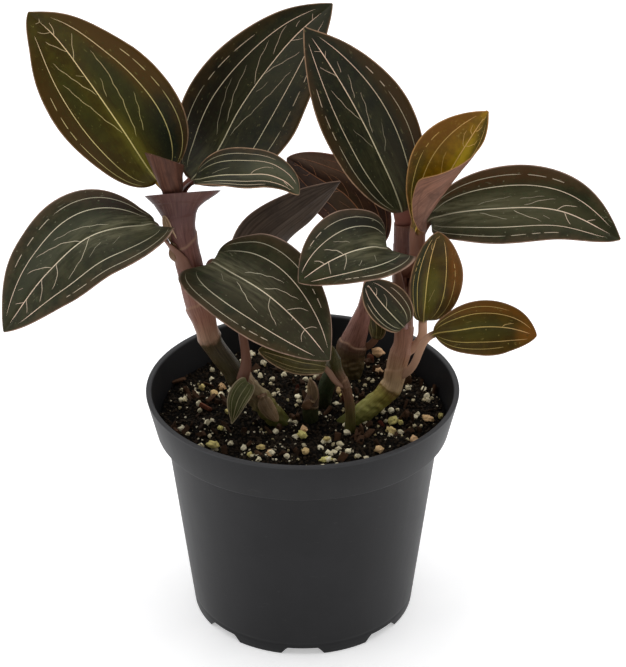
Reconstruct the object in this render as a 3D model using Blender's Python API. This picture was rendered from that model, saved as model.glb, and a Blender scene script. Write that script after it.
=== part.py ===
# Potted jewel orchid: a thin-walled nursery pot filled with soil, with three leafy
# shoots, two cut stubs and a young shoot, and each leaf as its own solid.
# Metres, +Z up. The origin is on the pot's axis, on the surface that it stands on,
# and the front of the plant faces -Y.

import math
import random

import bmesh
import bpy
import numpy as np
from mathutils import Matrix, Vector

MM = 0.001

# Driving dimensions of the pot, in metres
RIM_RADIUS = 0.060
POT_HEIGHT = 0.095
BASE_RADIUS = 0.0436
BODY_TOP_RADIUS = 0.0527
BAND_BOTTOM_RADIUS = 0.0562
BAND_HEIGHT = 0.0165
LIP_WIDTH = 0.0022
WALL = 0.0016
CORNER = 0.0006
BAND_LEDGE = 0.0001
FOOT_HEIGHT = 0.0034
FOOT_RING_WIDTH = 2 * WALL
FOOT_NOTCHES = 8
NOTCH_WIDTH = 0.0155
NOTCH_TAPER = 0.0015
CENTRE_PAD_RADIUS = 0.012
DRAIN_RADIUS = 0.0035
DRAIN_RING = 0.033
DRAIN_SIDES = 12
POT_SEGMENTS = 64

# Soil: its level, and the lumps raised on its surface
SOIL_LEVEL = 0.083
GAP = 0.0003
SOIL_GAP = 0.0005
HOLE_GAP = 0.0006
LUMP_FREE = 0.009
SOIL_SECTORS = 56
SOIL_RINGS = (0.006, 0.013, 0.020, 0.027, 0.034, 0.041, 0.0475, 0.052)
LUMP_COUNT = 46
LUMP_HEIGHT = 0.0020
LUMP_RADIUS = 0.0045
LUMP_REACH = 0.050
SOIL_WAVE = 0.0006
SOIL_SEED = 12
HOLE_DEPTH = 0.008

# Leaves and stems
BLADE_THICKNESS = 0.0008
MIDRIB_KEEL = 0.0009
PETIOLE_THICKNESS = 0.0016
STALK_BOW = 0.25
STEM_SIDES = 10
CUP_FLOOR = 0.88
CUP_WAIST = 0.94
SEAT_GAP = 0.0006

# Stems, in millimetres: points along each axis from the soil upwards, and a radius at
# each fraction of its length. Rings are the joints that old leaves left.
STEMS = {
    "stem_left": dict(
        points=((-10, -6, 83), (-14, -6, 89), (-23, -5, 99), (-29, -5, 108), (-34, -5, 116),
                (-37, -6, 128), (-40, -7, 142), (-42, -8, 155), (-44, -9, 167), (-45, -7, 178)),
        radii=((0.00, 4.0), (0.20, 4.3), (0.23, 4.7), (0.26, 3.9), (0.38, 4.0), (0.42, 4.5), (0.45, 4.1),
               (0.56, 5.2), (0.66, 5.0), (0.80, 4.6), (0.88, 5.2), (0.93, 6.4), (0.97, 8.8), (1.0, 11.6)),
        cup=(6.5, 0.9), colour=(0.18, 0.13, 0.07)),
    "stem_back": dict(
        points=((19, 30, 83), (19, 31, 93), (22, 31, 104), (25, 31, 116), (26, 30, 124)),
        radii=((0.00, 5.6), (0.22, 5.9), (0.30, 5.2), (0.50, 4.2), (0.70, 2.8), (1.0, 2.3)),
        cup=None, colour=(0.30, 0.16, 0.12)),
    "stem_right": dict(
        points=((20, -5, 83), (28, -3, 89), (34, -1, 95), (36, 0, 104), (38, 0, 114), (38, 0, 127),
                (37, 0, 142), (37, 0, 154), (37, 0, 163)),
        radii=((0.00, 3.8), (0.16, 3.8), (0.20, 4.4), (0.24, 3.8), (0.38, 4.0), (0.42, 3.4), (0.70, 3.4),
               (0.85, 3.5), (0.94, 4.4), (1.0, 5.2)),
        cup=(4.0, 0.8), colour=(0.30, 0.17, 0.12)),
    "shoot_front": dict(
        points=((18, -13, 83), (18, -13, 91), (16, -13, 102), (13, -13, 109), (11, -12, 118)),
        radii=((0.0, 2.1), (0.5, 1.7), (0.75, 2.0), (0.85, 2.3), (1.0, 0.7)),
        cup=None, colour=(0.16, 0.14, 0.06)),
    "stub_green": dict(
        points=((8, 6, 83), (9, 6, 90), (11, 6, 97), (12, 6, 103)),
        radii=((0.0, 2.9), (0.5, 3.2), (0.9, 2.9), (1.0, 2.3)), cup=None, colour=(0.06, 0.09, 0.04)),
    "stub_papery": dict(
        points=((3, -5, 83), (3, -5, 88), (4, -5, 94), (4, -5, 99)),
        radii=((0.0, 2.9), (0.5, 2.8), (1.0, 1.9)), cup=None, colour=(0.24, 0.17, 0.12)),
}

# Leaves, in millimetres and degrees. "seat" says where the leaf starts: beside a stem at
# a fraction of its length and in a direction from its axis, or "cup", in the open top of
# a stem, at an offset from its middle. "spine" runs from the end of the petiole to the
# tip. Pairs are left and right of the midrib, seen from the upper face: "wide" is the
# half-width, "lobe" how far the base reaches back, and "rise" and "fall" shape the margin
# towards the base and the tip. "face" is where the upper face looks, at the base and at
# the tip. "roll" is the arc of a section at the base, the middle and the tip, and "fold"
# lifts both halves. "clasp" is the arc of the sheath that holds the stem, and "stalk" the
# half-width of the petiole, which passes the points of "via".
LEAVES = {
    "leaf_left_top": dict(
        seat=("stem_left", "cup", (-3.5, 0.9)), stalk=1.3, clasp=0,
        spine=((-52, -3, 181), (-65, 4, 201), (-77, 7, 219), (-88, 8, 235), (-96, 7, 241)),
        wide=(21, 22), lobe=(2, 2), rise=(0.6, 0.6), fall=(0.7, 0.92),
        face=((0.3, -0.9, 0.3), (0.1, -0.95, 0.2)), roll=(60, 20, 0), fold=8, colour=(0.10, 0.075, 0.02)),
    "leaf_left_back": dict(
        seat=("stem_left", "cup", (2.2, 2.2)), stalk=1.5, clasp=0,
        spine=((-40, -2, 181), (-32, 9.5, 186), (-23, 19.5, 200), (-13, 25, 213), (-3, 29, 224),
               (11, 32, 236)),
        wide=(20, 25), lobe=(1, 1), rise=(0.55, 0.6), fall=(0.85, 0.85),
        face=((0.0, -0.8, 0.6), (-0.2, -0.7, 0.7)), roll=(60, 20, 0), fold=8, colour=(0.03, 0.035, 0.02)),
    "leaf_left_cap": dict(
        seat=("stem_left", "cup", (2.7, -1.3)), stalk=1.0, clasp=0,
        spine=((-38, -12, 185), (-30, -16, 189), (-20, -20, 191), (-11, -23, 192), (-5, -25, 190),
               (-1, -26, 186)),
        wide=(11, 6), lobe=(0, 0), rise=(0.45, 0.5), fall=(0.7, 0.7),
        face=((-0.1, -0.4, 0.9), (0.2, -0.7, 0.7)), roll=(60, 0, -50), fold=4, colour=(0.04, 0.05, 0.025)),
    "leaf_left_bud": dict(
        seat=("stem_left", "cup", (-0.8, -0.8)), stalk=1.3, clasp=0, tube=(8.4, 15.5),
        spine=((-46, -8, 179), (-48, -8, 187), (-50, -8, 195)),
        wide=(9, 9), lobe=(0, 0), rise=(0.3, 0.3), fall=(0.4, 0.4),
        face=((0.1, -0.9, 0.2), (0.1, -0.9, 0.2)), roll=(320, 300, 290), fold=0, colour=(0.22, 0.10, 0.06)),
    "leaf_left_droop": dict(
        seat=("stem_left", 0.70, (-0.9, -0.7, 0.0)), stalk=2.0, clasp=130,
        via=((-51, -13, 165),),
        spine=((-53, -15, 169), (-58, -17, 170), (-74, -23, 169), (-90, -28, 157), (-107, -32, 135)),
        wide=(18, 19.5), lobe=(11, 1), rise=(0.5, 0.62), fall=(0.85, 0.82),
        face=((0.0, -0.5, 0.9), (-0.5, -0.8, 0.5)), roll=(40, 0, -20), fold=4, colour=(0.03, 0.035, 0.02)),
    "leaf_centre_droop": dict(
        seat=("stem_left", 0.62, (0.8, -0.7, 0.0)), stalk=2.0, clasp=140,
        spine=((-32, -17, 155), (-25, -21, 153), (-12, -27, 147), (1, -32, 136), (10, -35, 125)),
        wide=(20, 18), lobe=(1, 12), rise=(0.45, 0.5), fall=(0.9, 0.8),
        face=((0.0, -0.6, 0.8), (0.4, -0.9, 0.4)), roll=(20, 0, -30), fold=4, colour=(0.03, 0.035, 0.02)),
    "leaf_centre_under": dict(
        seat=("stem_left", 0.23, (0.5, -0.9, 0.0)), stalk=1.9, clasp=0,
        via=((-21.5, -10.5, 108), (-22.5, -5, 118)),
        spine=((-24, 2, 128), (-22, 7, 138), (-15, 12, 151), (-1, 17, 161), (14, 20, 171)),
        wide=(12, 10), lobe=(0, 0), rise=(0.8, 0.8), fall=(0.9, 0.9),
        face=((0.3, 0.8, 0.3), (0.2, 0.8, 0.5)), roll=(60, 30, 20), fold=6, colour=(0.07, 0.05, 0.04)),
    "leaf_back_brown": dict(
        seat=("stem_back", 0.90, (0.1, 1, 0.0)), stalk=1.4, clasp=0,
        spine=((27, 36, 137), (25, 39, 144), (16, 42, 156), (6, 43, 162), (-6, 42, 171)),
        wide=(14, 13), lobe=(2, 2), rise=(0.55, 0.55), fall=(0.7, 0.7),
        face=((0.0, -0.8, 0.6), (0.0, -0.7, 0.7)), roll=(60, 20, 0), fold=6, colour=(0.11, 0.06, 0.03)),
    "leaf_right_top": dict(
        seat=("stem_right", "cup", (-1.6, 0.5)), stalk=1.2, clasp=0,
        spine=((35, 2, 171), (27, 5, 190), (16, 8, 211), (9, 8, 223), (1, 6, 236)),
        wide=(15.5, 18.5), lobe=(1, 1), rise=(0.65, 0.7), fall=(0.9, 0.95),
        face=((0.1, -0.9, 0.3), (0.0, -0.95, 0.2)), roll=(60, 20, 0), fold=8, colour=(0.03, 0.04, 0.02)),
    "leaf_right_new": dict(
        seat=("stem_right", "cup", (1.6, -0.5)), stalk=1.2, clasp=0,
        spine=((42, -2, 165), (45, -5, 174), (51, -7, 183), (57, -10, 196), (65, -13, 212)),
        wide=(16.5, 9.5), lobe=(0, 0), rise=(0.62, 0.4), fall=(0.9, 1.0),
        face=((-0.8, -0.55, 0.2), (-0.6, -0.75, 0.3)), roll=(200, 150, 60), fold=0,
        colour=(0.16, 0.13, 0.03)),
    "leaf_right_side": dict(
        seat=("stem_right", 0.68, (1, 0.1, 0.0)), stalk=1.6, clasp=130,
        via=((43, 2, 155),),
        spine=((47, 3, 163), (51, 0, 166), (70, -7, 172), (92, -13, 174), (114, -18, 165)),
        wide=(15.5, 13.5), lobe=(1, 2), rise=(0.75, 0.6), fall=(0.85, 0.8),
        face=((0.0, -0.8, 0.6), (0.1, -0.8, 0.6)), roll=(50, 10, 0), fold=5, colour=(0.03, 0.035, 0.02)),
    "leaf_centre_top": dict(
        seat=("stem_right", 0.58, (-0.6, -0.8, 0.0)), stalk=1.6, clasp=140,
        spine=((30, -16, 160), (27, -18, 162), (21, -22, 163), (8, -30, 161), (0, -34, 155)),
        wide=(12, 15.5), lobe=(14, 0), rise=(0.5, 0.5), fall=(0.75, 0.68),
        face=((0.0, -0.6, 0.8), (-0.2, -0.8, 0.6)), roll=(10, -20, -40), fold=4, colour=(0.03, 0.04, 0.025)),
    "leaf_low_upright": dict(
        seat=("stem_right", 0.40, (1, 0.1, 0.1)), stalk=1.3, clasp=0,
        spine=((45, -5, 126), (46, -9, 146), (47, -12, 156), (49, -14, 166)),
        wide=(6.5, 13), lobe=(1, 1), rise=(0.5, 0.5), fall=(0.6, 0.6),
        face=((0.1, -0.95, 0.2), (0.1, -0.95, 0.2)), roll=(40, 10, 0), fold=6, colour=(0.11, 0.10, 0.025)),
    "leaf_low_right": dict(
        seat=("stem_right", 0.29, (0.8, -0.8, 0.0)), stalk=1.3, clasp=0,
        spine=((49, -13, 124), (57, -16, 127), (66, -17, 129), (76, -18, 129), (85, -19, 127)),
        wide=(9.8, 10.8), lobe=(1, 1), rise=(0.6, 0.65), fall=(0.75, 0.75),
        face=((0.0, -0.85, 0.5), (0.0, -0.85, 0.5)), roll=(50, 10, 0), fold=6, colour=(0.11, 0.09, 0.025)),
    "leaf_low_dark": dict(
        seat=("stem_right", 0.52, (0.1, -1, 0.0)), stalk=1.2, clasp=0,
        spine=((37, -14, 128), (30, -16, 137), (23, -18, 148)),
        wide=(6.5, 9.5), lobe=(1, 1), rise=(0.5, 0.5), fall=(0.6, 0.6),
        face=((0.0, -0.9, 0.4), (0.0, -0.9, 0.4)), roll=(40, 20, 0), fold=6, colour=(0.04, 0.045, 0.02)),
    "leaf_front_small": dict(
        seat=("shoot_front", 0.60, (-0.6, -0.8, 0.0)), stalk=1.1, clasp=0,
        spine=((8, -17, 112), (-1, -20, 116), (-16, -22, 122)),
        wide=(5.5, 7), lobe=(1, 1), rise=(0.5, 0.5), fall=(0.65, 0.65),
        face=((0.0, -0.6, 0.8), (0.0, -0.6, 0.8)), roll=(40, 10, 0), fold=5, colour=(0.10, 0.09, 0.03)),
    "leaf_low_scale": dict(
        seat=("stem_left", 0.12, (-0.5, -1, 0.0)), stalk=1.2, clasp=0,
        spine=((-23, -15, 98), (-26, -18, 95), (-27.5, -19, 89.5)),
        wide=(4, 5), lobe=(0, 0), rise=(0.6, 0.6), fall=(0.7, 0.7),
        face=((0.0, -0.9, 0.4), (0.0, -0.9, 0.4)), roll=(60, 50, 30), fold=4, colour=(0.14, 0.13, 0.06)),
}

SPAN_STEPS = 24
LENGTH_STEPS = 60
WAY_STEP = 0.02
BLADE_COLUMNS = 8
SMALL_BLADE_COLUMNS = 6
BLADE_ROWS = (0.0, 0.015, 0.05, 0.11, 0.19, 0.29, 0.40, 0.52, 0.64, 0.75, 0.85, 0.93, 0.98, 1.0)
SMALL_BLADE_ROWS = (0.0, 0.03, 0.12, 0.27, 0.45, 0.63, 0.80, 0.93, 1.0)
SMALL_BLADE_LENGTH = 0.045
SHEATH_LENGTH = 0.007
SHEATH_SHAPE = ((0.0, 0.75), (0.5, 1.0), (1.0, 0.85))
STALK_ROLL = 50
STALK_NARROWS = 0.8
STALK_RUN = 0.06
BEND_WIDENS = 1.1
BEND_ROLL = 80
BEND_FORM = 0.7
FOLD_RUN = 0.2
LOBE_GAIN = 3.0
LOBE_BOW = 1.5
LOBE_RUN = 0.12
LOBE_FIRST_ROW = 3
LOBE_ROWS_SHARE = 8
KEEL_REACH = 0.0015
KEEL_FULL_WIDTH = 0.012


def clear_scene():
    for item in list(bpy.data.objects):
        bpy.data.objects.remove(item, do_unlink=True)


def finish_of(name, colour, roughness=0.5, metallic=0.0):
    """A Principled material with the piece's own colour."""
    material = bpy.data.materials.new(name + "_finish")
    material.use_nodes = True
    shader = material.node_tree.nodes["Principled BSDF"]
    shader.inputs["Base Color"].default_value = (*colour, 1.0)
    shader.inputs["Roughness"].default_value = roughness
    shader.inputs["Metallic"].default_value = metallic
    material.diffuse_color = (*colour, 1.0)
    return material


def add_object(name, mesh, material):
    item = bpy.data.objects.new(name, mesh)
    bpy.context.scene.collection.objects.link(item)
    mesh.materials.append(material)
    mesh.shade_smooth()
    mesh.set_sharp_from_angle(angle=math.radians(40))
    return item


def mesh_of(name, points, faces):
    mesh = bpy.data.meshes.new(name)
    mesh.from_pydata([tuple(p) for p in points], [], faces)
    mesh.validate()
    return mesh


def path_through(points, fractions):
    """Points at fractions of a smooth path's length, and the path's direction there."""
    knots = np.array(points, float)
    steps = np.diff(knots, axis=0)
    spans = np.linalg.norm(steps, axis=1)
    slopes = steps / spans[:, None]
    tangents = [slopes[0]]
    for i in range(1, len(slopes)):
        share = spans[i] / (spans[i] + spans[i - 1])
        tangents.append(slopes[i - 1] * share + slopes[i] * (1 - share))
    tangents.append(slopes[-1])
    fine = []
    for i, span in enumerate(spans):
        start, end = knots[i], knots[i + 1]
        leave, arrive = tangents[i] * span, tangents[i + 1] * span
        for t in np.linspace(0, 1, SPAN_STEPS, endpoint=False):
            fine.append(start + (end - start) * (3 * t ** 2 - 2 * t ** 3)
                        + leave * (t ** 3 - 2 * t ** 2 + t) + arrive * (t ** 3 - t ** 2))
    fine.append(knots[-1])
    fine = np.array(fine)
    run = np.concatenate([[0], np.cumsum(np.linalg.norm(np.diff(fine, axis=0), axis=1))])
    run /= run[-1]

    def at(f):
        return np.array([np.interp(f, run, fine[:, k]) for k in range(3)])

    places = [at(f) for f in fractions]
    ways = [at(min(f + WAY_STEP, 1)) - at(max(f - WAY_STEP, 0)) for f in fractions]
    return np.array(places), np.array([w / np.linalg.norm(w) for w in ways])


def path_length(points):
    places, _ = path_through(points, np.linspace(0, 1, LENGTH_STEPS))
    return float(np.linalg.norm(np.diff(places, axis=0), axis=1).sum())


def loft(rings):
    """A closed tube through rings of equal length, capped at both ends."""
    count = len(rings[0])
    points = [p for ring in rings for p in ring]
    faces = []
    for r in range(len(rings) - 1):
        for k in range(count):
            a = r * count + k
            b = r * count + (k + 1) % count
            faces += [(a, b, b + count), (a, b + count, a + count)]
    first = list(range(count))[::-1]
    last = [(len(rings) - 1) * count + k for k in range(count)]
    faces += [(first[0], first[k], first[k + 1]) for k in range(1, count - 1)]
    faces += [(last[0], last[k], last[k + 1]) for k in range(1, count - 1)]
    return points, faces


def turned(profile, segments):
    """Points and faces of a closed profile turned about Z, with its ends on the axis."""
    rings = []
    turns = [2 * math.pi * k / segments for k in range(segments)]
    for radius, height in profile[1:-1]:
        rings.append([(radius * math.cos(a), radius * math.sin(a), height) for a in turns])
    points = [p for ring in rings for p in ring]
    faces = []
    for r in range(len(rings) - 1):
        for k in range(segments):
            a = r * segments + k
            b = r * segments + (k + 1) % segments
            faces.append((a, b, b + segments, a + segments))
    start = len(points)
    points += [(0, 0, profile[0][1]), (0, 0, profile[-1][1])]
    last = (len(rings) - 1) * segments
    for k in range(segments):
        faces.append((start, (k + 1) % segments, k))
        faces.append((start + 1, last + k, last + (k + 1) % segments))
    return points, faces


def cut(target, cutter):
    """Subtracts a cutter, which stays as a hidden guide until the cut is applied."""
    cutter.hide_render = True
    cutter.display_type = "WIRE"
    change = target.modifiers.new("cut", "BOOLEAN")
    change.operation = "DIFFERENCE"
    change.object = cutter
    change.solver = "EXACT"
    bpy.context.view_layer.update()
    depsgraph = bpy.context.evaluated_depsgraph_get()
    result = bpy.data.meshes.new_from_object(target.evaluated_get(depsgraph))
    target.modifiers.remove(change)
    target.data = result
    bpy.data.objects.remove(cutter, do_unlink=True)


def pot_wall(height, inner):
    """Radius of the pot's outer or inner wall at a height, below and in the band."""
    step = POT_HEIGHT - BAND_HEIGHT
    if height < step:
        outer = BASE_RADIUS + (BODY_TOP_RADIUS - BASE_RADIUS) * height / step
        return outer - WALL if inner else outer
    top_inner = RIM_RADIUS - LIP_WIDTH
    outer = BAND_BOTTOM_RADIUS + (RIM_RADIUS - BAND_BOTTOM_RADIUS) * (height - step) / BAND_HEIGHT
    lean = BAND_BOTTOM_RADIUS - WALL + (top_inner - BAND_BOTTOM_RADIUS + WALL) * (height - step) / BAND_HEIGHT
    return lean if inner else outer


def build_pot():
    step = POT_HEIGHT - BAND_HEIGHT
    floor_top = FOOT_HEIGHT + WALL
    ring_inner = BASE_RADIUS - FOOT_RING_WIDTH
    profile = [
        (0, 0), (CENTRE_PAD_RADIUS, 0), (CENTRE_PAD_RADIUS, FOOT_HEIGHT),
        (ring_inner, FOOT_HEIGHT), (ring_inner, 0), (BASE_RADIUS - CORNER, 0),
        (pot_wall(2 * CORNER, False), 2 * CORNER),
        (pot_wall(step - BAND_LEDGE, False), step - BAND_LEDGE),
        (BAND_BOTTOM_RADIUS - CORNER, step), (BAND_BOTTOM_RADIUS, step + CORNER),
        (RIM_RADIUS, POT_HEIGHT - CORNER), (RIM_RADIUS - CORNER, POT_HEIGHT),
        (RIM_RADIUS - LIP_WIDTH + CORNER, POT_HEIGHT), (RIM_RADIUS - LIP_WIDTH, POT_HEIGHT - CORNER),
        (pot_wall(step + WALL, True), step + WALL),
        (pot_wall(step - WALL, True), step - WALL),
        (pot_wall(floor_top, True), floor_top),
        (0, floor_top),
    ]
    points, faces = turned(profile, POT_SEGMENTS)
    material = finish_of("pot", (0.012, 0.012, 0.014), 0.42)
    pot = add_object("pot", mesh_of("pot", points, faces), material)

    cutters = bmesh.new()
    reach = BASE_RADIUS + FOOT_RING_WIDTH
    inner = ring_inner - WALL
    wide = NOTCH_WIDTH / 2 + NOTCH_TAPER
    narrow = NOTCH_WIDTH / 2 - NOTCH_TAPER
    notch_top = FOOT_HEIGHT - BAND_LEDGE
    for k in range(FOOT_NOTCHES):
        turn = Matrix.Rotation(2 * math.pi * k / FOOT_NOTCHES, 4, "Z")
        corners = []
        for y in (-reach, -inner):
            for x, z in ((-wide, -WALL), (wide, -WALL), (narrow, notch_top), (-narrow, notch_top)):
                corners.append(cutters.verts.new(turn @ Vector((x, y, z))))
        a, b, c, d, e, f, g, h = corners
        for face in ((a, b, c, d), (h, g, f, e), (a, e, f, b), (b, f, g, c), (c, g, h, d), (d, h, e, a)):
            cutters.faces.new(face)
        hole = bmesh.ops.create_cone(cutters, cap_ends=True, segments=DRAIN_SIDES, radius1=DRAIN_RADIUS,
                                     radius2=DRAIN_RADIUS, depth=3 * WALL)
        shift = turn @ Matrix.Translation((0, -DRAIN_RING, FOOT_HEIGHT + WALL / 2))
        bmesh.ops.transform(cutters, matrix=shift, verts=hole["verts"])
    bmesh.ops.recalc_face_normals(cutters, faces=cutters.faces)
    mesh = bpy.data.meshes.new("notches")
    cutters.to_mesh(mesh)
    cutters.free()
    guide = bpy.data.objects.new("notches", mesh)
    bpy.context.scene.collection.objects.link(guide)
    cut(pot, guide)
    pot.data.name = "pot"
    pot.data.shade_smooth()
    pot.data.set_sharp_from_angle(angle=math.radians(30))


def soil_lumps():
    """Centres, radii and heights of the lumps raised from the soil, from one seed."""
    draw = random.Random(SOIL_SEED)
    lumps = []
    for _ in range(LUMP_COUNT):
        angle = draw.uniform(0, 2 * math.pi)
        out = LUMP_REACH * math.sqrt(draw.random())
        lumps.append((out * math.cos(angle), out * math.sin(angle), LUMP_RADIUS * draw.uniform(0.7, 1.3),
                      LUMP_HEIGHT * draw.uniform(0.4, 1.0)))
    return lumps


def build_soil():
    lumps = soil_lumps()
    feet = [stem_foot(stem)[0] for stem in STEMS.values()]
    step = POT_HEIGHT - BAND_HEIGHT
    floor = FOOT_HEIGHT + WALL + GAP
    side = [(pot_wall(floor, True) - SOIL_GAP, floor), (pot_wall(step - WALL, True) - SOIL_GAP, step - WALL),
            (pot_wall(step + WALL, True) - SOIL_GAP, step + WALL + SOIL_GAP),
            (pot_wall(SOIL_LEVEL, True) - SOIL_GAP, SOIL_LEVEL)]
    rings = side + [(r, None) for r in reversed(SOIL_RINGS)]
    points = []
    for radius, height in rings:
        for k in range(SOIL_SECTORS):
            angle = 2 * math.pi * (k + 0.5) / SOIL_SECTORS
            x = radius * math.cos(angle)
            y = radius * math.sin(angle)
            z = height
            if z is None:
                z = SOIL_LEVEL - SOIL_WAVE + SOIL_WAVE * math.sin(150 * x) * math.cos(130 * y)
                near = min(math.hypot(x - foot[0], y - foot[1]) for foot in feet) / LUMP_FREE
                for cx, cy, size, lift in lumps:
                    away = math.hypot(x - cx, y - cy) / size
                    z += lift * math.exp(-away * away) * min(1.0, near ** 2)
            points.append((x, y, z))
    faces = []
    for r in range(len(rings) - 1):
        for k in range(SOIL_SECTORS):
            a = r * SOIL_SECTORS + k
            b = r * SOIL_SECTORS + (k + 1) % SOIL_SECTORS
            faces += [(a, b, b + SOIL_SECTORS), (a, b + SOIL_SECTORS, a + SOIL_SECTORS)]
    last = (len(rings) - 1) * SOIL_SECTORS
    start = len(points)
    points += [(0, 0, floor), (0, 0, SOIL_LEVEL)]
    for k in range(SOIL_SECTORS):
        faces.append((start, (k + 1) % SOIL_SECTORS, k))
        faces.append((start + 1, last + k, last + (k + 1) % SOIL_SECTORS))
    soil = add_object("soil", mesh_of("soil", points, faces), finish_of("soil", (0.02, 0.016, 0.012), 0.95))

    holes = bmesh.new()
    for stem in STEMS.values():
        foot, way = stem_foot(stem)
        radius = (stem["radii"][0][1] * MM + HOLE_GAP) / math.cos(math.pi / STEM_SIDES)
        length = 2 * HOLE_DEPTH + GAP
        cone = bmesh.ops.create_cone(holes, cap_ends=True, segments=STEM_SIDES, radius1=radius,
                                     radius2=radius, depth=length)
        turn = Vector((0, 0, 1)).rotation_difference(Vector(way)).to_matrix().to_4x4()
        middle = Vector(foot) - Vector(way) * (HOLE_DEPTH + GAP) + Vector(way) * length / 2
        bmesh.ops.transform(holes, matrix=Matrix.Translation(middle) @ turn, verts=cone["verts"])
    mesh = bpy.data.meshes.new("stem_holes")
    holes.to_mesh(mesh)
    holes.free()
    guide = bpy.data.objects.new("stem_holes", mesh)
    bpy.context.scene.collection.objects.link(guide)
    cut(soil, guide)
    soil.data.name = "soil"


def stem_foot(stem):
    """Where a stem's axis meets the soil, and its direction there."""
    places, ways = path_through(stem["points"], (0.0,))
    return places[0] * MM, ways[0]


def stem_radius(stem, fraction):
    fractions = [f for f, _ in stem["radii"]]
    radii = [r for _, r in stem["radii"]]
    return float(np.interp(fraction, fractions, radii)) * MM


def ring_at(centre, way, radius, sides, reference):
    """A ring of points round a centre, square to a direction."""
    first = np.cross(way, reference)
    first /= np.linalg.norm(first)
    second = np.cross(way, first)
    turns = [2 * math.pi * (k + 0.5) / sides for k in range(sides)]
    return [tuple(centre + radius * (math.cos(a) * first + math.sin(a) * second)) for a in turns]


def build_stem(name, stem):
    knots = sorted(set([f for f, _ in stem["radii"]] + [round(k / 12, 3) for k in range(13)]))
    fractions = [knots[0]]
    for f in knots[1:]:
        if f - fractions[-1] > 0.02:
            fractions.append(f)
    fractions[-1] = 1.0
    places, ways = path_through(stem["points"], fractions)
    places = places * MM
    foot, way = stem_foot(stem)
    reference = np.array([0.0, 1.0, 0.0])
    first_radius = stem_radius(stem, 0)
    rings = [ring_at(foot - way * HOLE_DEPTH, way, first_radius, STEM_SIDES, reference),
             ring_at(foot, way, first_radius, STEM_SIDES, reference)]
    for f, p, w in zip(fractions[1:], places[1:], ways[1:]):
        rings.append(ring_at(p, w, stem_radius(stem, f), STEM_SIDES, reference))
    if stem["cup"]:
        depth, wall = stem["cup"]
        top = places[-1]
        up = ways[-1]
        mouth = stem_radius(stem, 1.0) - wall * MM
        floor = (stem_radius(stem, CUP_WAIST) - wall * MM) * CUP_FLOOR
        rings.append(ring_at(top, up, mouth, STEM_SIDES, reference))
        rings.append(ring_at(top - up * depth * MM, up, floor, STEM_SIDES, reference))
    points, faces = loft(rings)
    return add_object(name, mesh_of(name, points, faces), finish_of(name, stem["colour"], 0.45))


def cup_floor(stem):
    """The middle of the floor of a stem's open top, and the way that it faces."""
    places, ways = path_through(stem["points"], (1.0,))
    return places[0] * MM - ways[0] * stem["cup"][0] * MM, ways[0]


def stalk_depth(leaf, way, side):
    """How far a petiole's section reaches from its middle towards the stem."""
    face = np.array(leaf["face"][0], float)
    face = face - way * face.dot(way)
    face /= np.linalg.norm(face)
    right = np.cross(way, face)
    lean = abs(face.dot(side))
    bow = STALK_BOW * leaf["stalk"] * MM * max(-face.dot(side), 0.0)
    edge = leaf["stalk"] * MM * abs(right.dot(side)) + BLADE_THICKNESS / 2 * lean + bow
    return max(PETIOLE_THICKNESS / 2 * lean, edge)


def leaf_start(leaf):
    """The first points of a leaf, the way to its stem, and its sheath's radius."""
    stem = STEMS[leaf["seat"][0]]
    if leaf["seat"][1] == "cup":
        floor, way = cup_floor(stem)
        offset = np.array([*leaf["seat"][2], 0.0]) * MM
        foot = floor + offset - way * offset.dot(way) + way * SEAT_GAP
        return [foot, foot + way * stem["cup"][0] * MM], None, 0.0
    _, fraction, side = leaf["seat"]
    side = np.array(side, float)
    side /= np.linalg.norm(side)
    run = SHEATH_LENGTH / (path_length(stem["points"]) * MM) if leaf["clasp"] else WAY_STEP
    fractions = (fraction, fraction + run)
    places, ways = path_through(stem["points"], fractions)
    beside = np.linspace(fractions[0] - WAY_STEP, fractions[1] + WAY_STEP, BLADE_COLUMNS)
    thickest = max(stem_radius(stem, f) for f in beside)
    half_depth = BLADE_THICKNESS / 2 if leaf["clasp"] else stalk_depth(leaf, ways[0], side)
    out = thickest + SEAT_GAP + half_depth
    return [p * MM + side * out for p in places], -side, out


def blend(values, s):
    """A value between its amounts at the base, the middle and the tip."""
    return float(np.interp(s, (0.0, 0.5, 1.0), values))


def margin(leaf, side, t):
    """Share of the full half-width that a leaf has at a fraction of its blade."""
    if "tube" in leaf:
        low, high = leaf["tube"]
        return (low + (high - low) * t) / leaf["wide"][side]
    rise = leaf["rise"][side]
    fall = leaf["fall"][side]
    peak = rise / (rise + fall)
    return (t / peak) ** rise * max((1 - t) / (1 - peak), 0.0) ** fall


def leaf_rows(leaf):
    """Each section's place on the whole spine, its share of the blade, and its stalk's form."""
    start, inward, out = leaf_start(leaf)
    spine = np.array(leaf["spine"], float) * MM
    via = np.array(leaf.get("via", []), float).reshape(-1, 3) * MM
    whole = np.vstack([start, via, spine])
    total = path_length(whole)
    stalk_end = 1 - path_length(spine) / total
    sheath_end = path_length(np.array(start)) / total
    rows = SMALL_BLADE_ROWS if path_length(spine) < SMALL_BLADE_LENGTH else BLADE_ROWS
    clasp = math.radians(leaf["clasp"])
    half = leaf["stalk"] * MM
    sections = []
    if clasp:
        for share, arc in SHEATH_SHAPE:
            sections.append((share * sheath_end, -1.0, out * clasp * arc / 2, clasp * arc, 0.0))
    else:
        sections.append((0.0, -1.0, half, math.radians(STALK_ROLL), 1.0))
    bend = (sheath_end + stalk_end) / 2
    sections.append((bend, -0.5, half * BEND_WIDENS, math.radians(BEND_ROLL), BEND_FORM))
    for t in rows:
        stalk = math.exp(-(t / STALK_RUN) ** 2)
        sections.append((stalk_end + t * (1 - stalk_end), t, half * (1 - STALK_NARROWS * t), None, stalk))
    return whole, inward, sections


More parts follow.
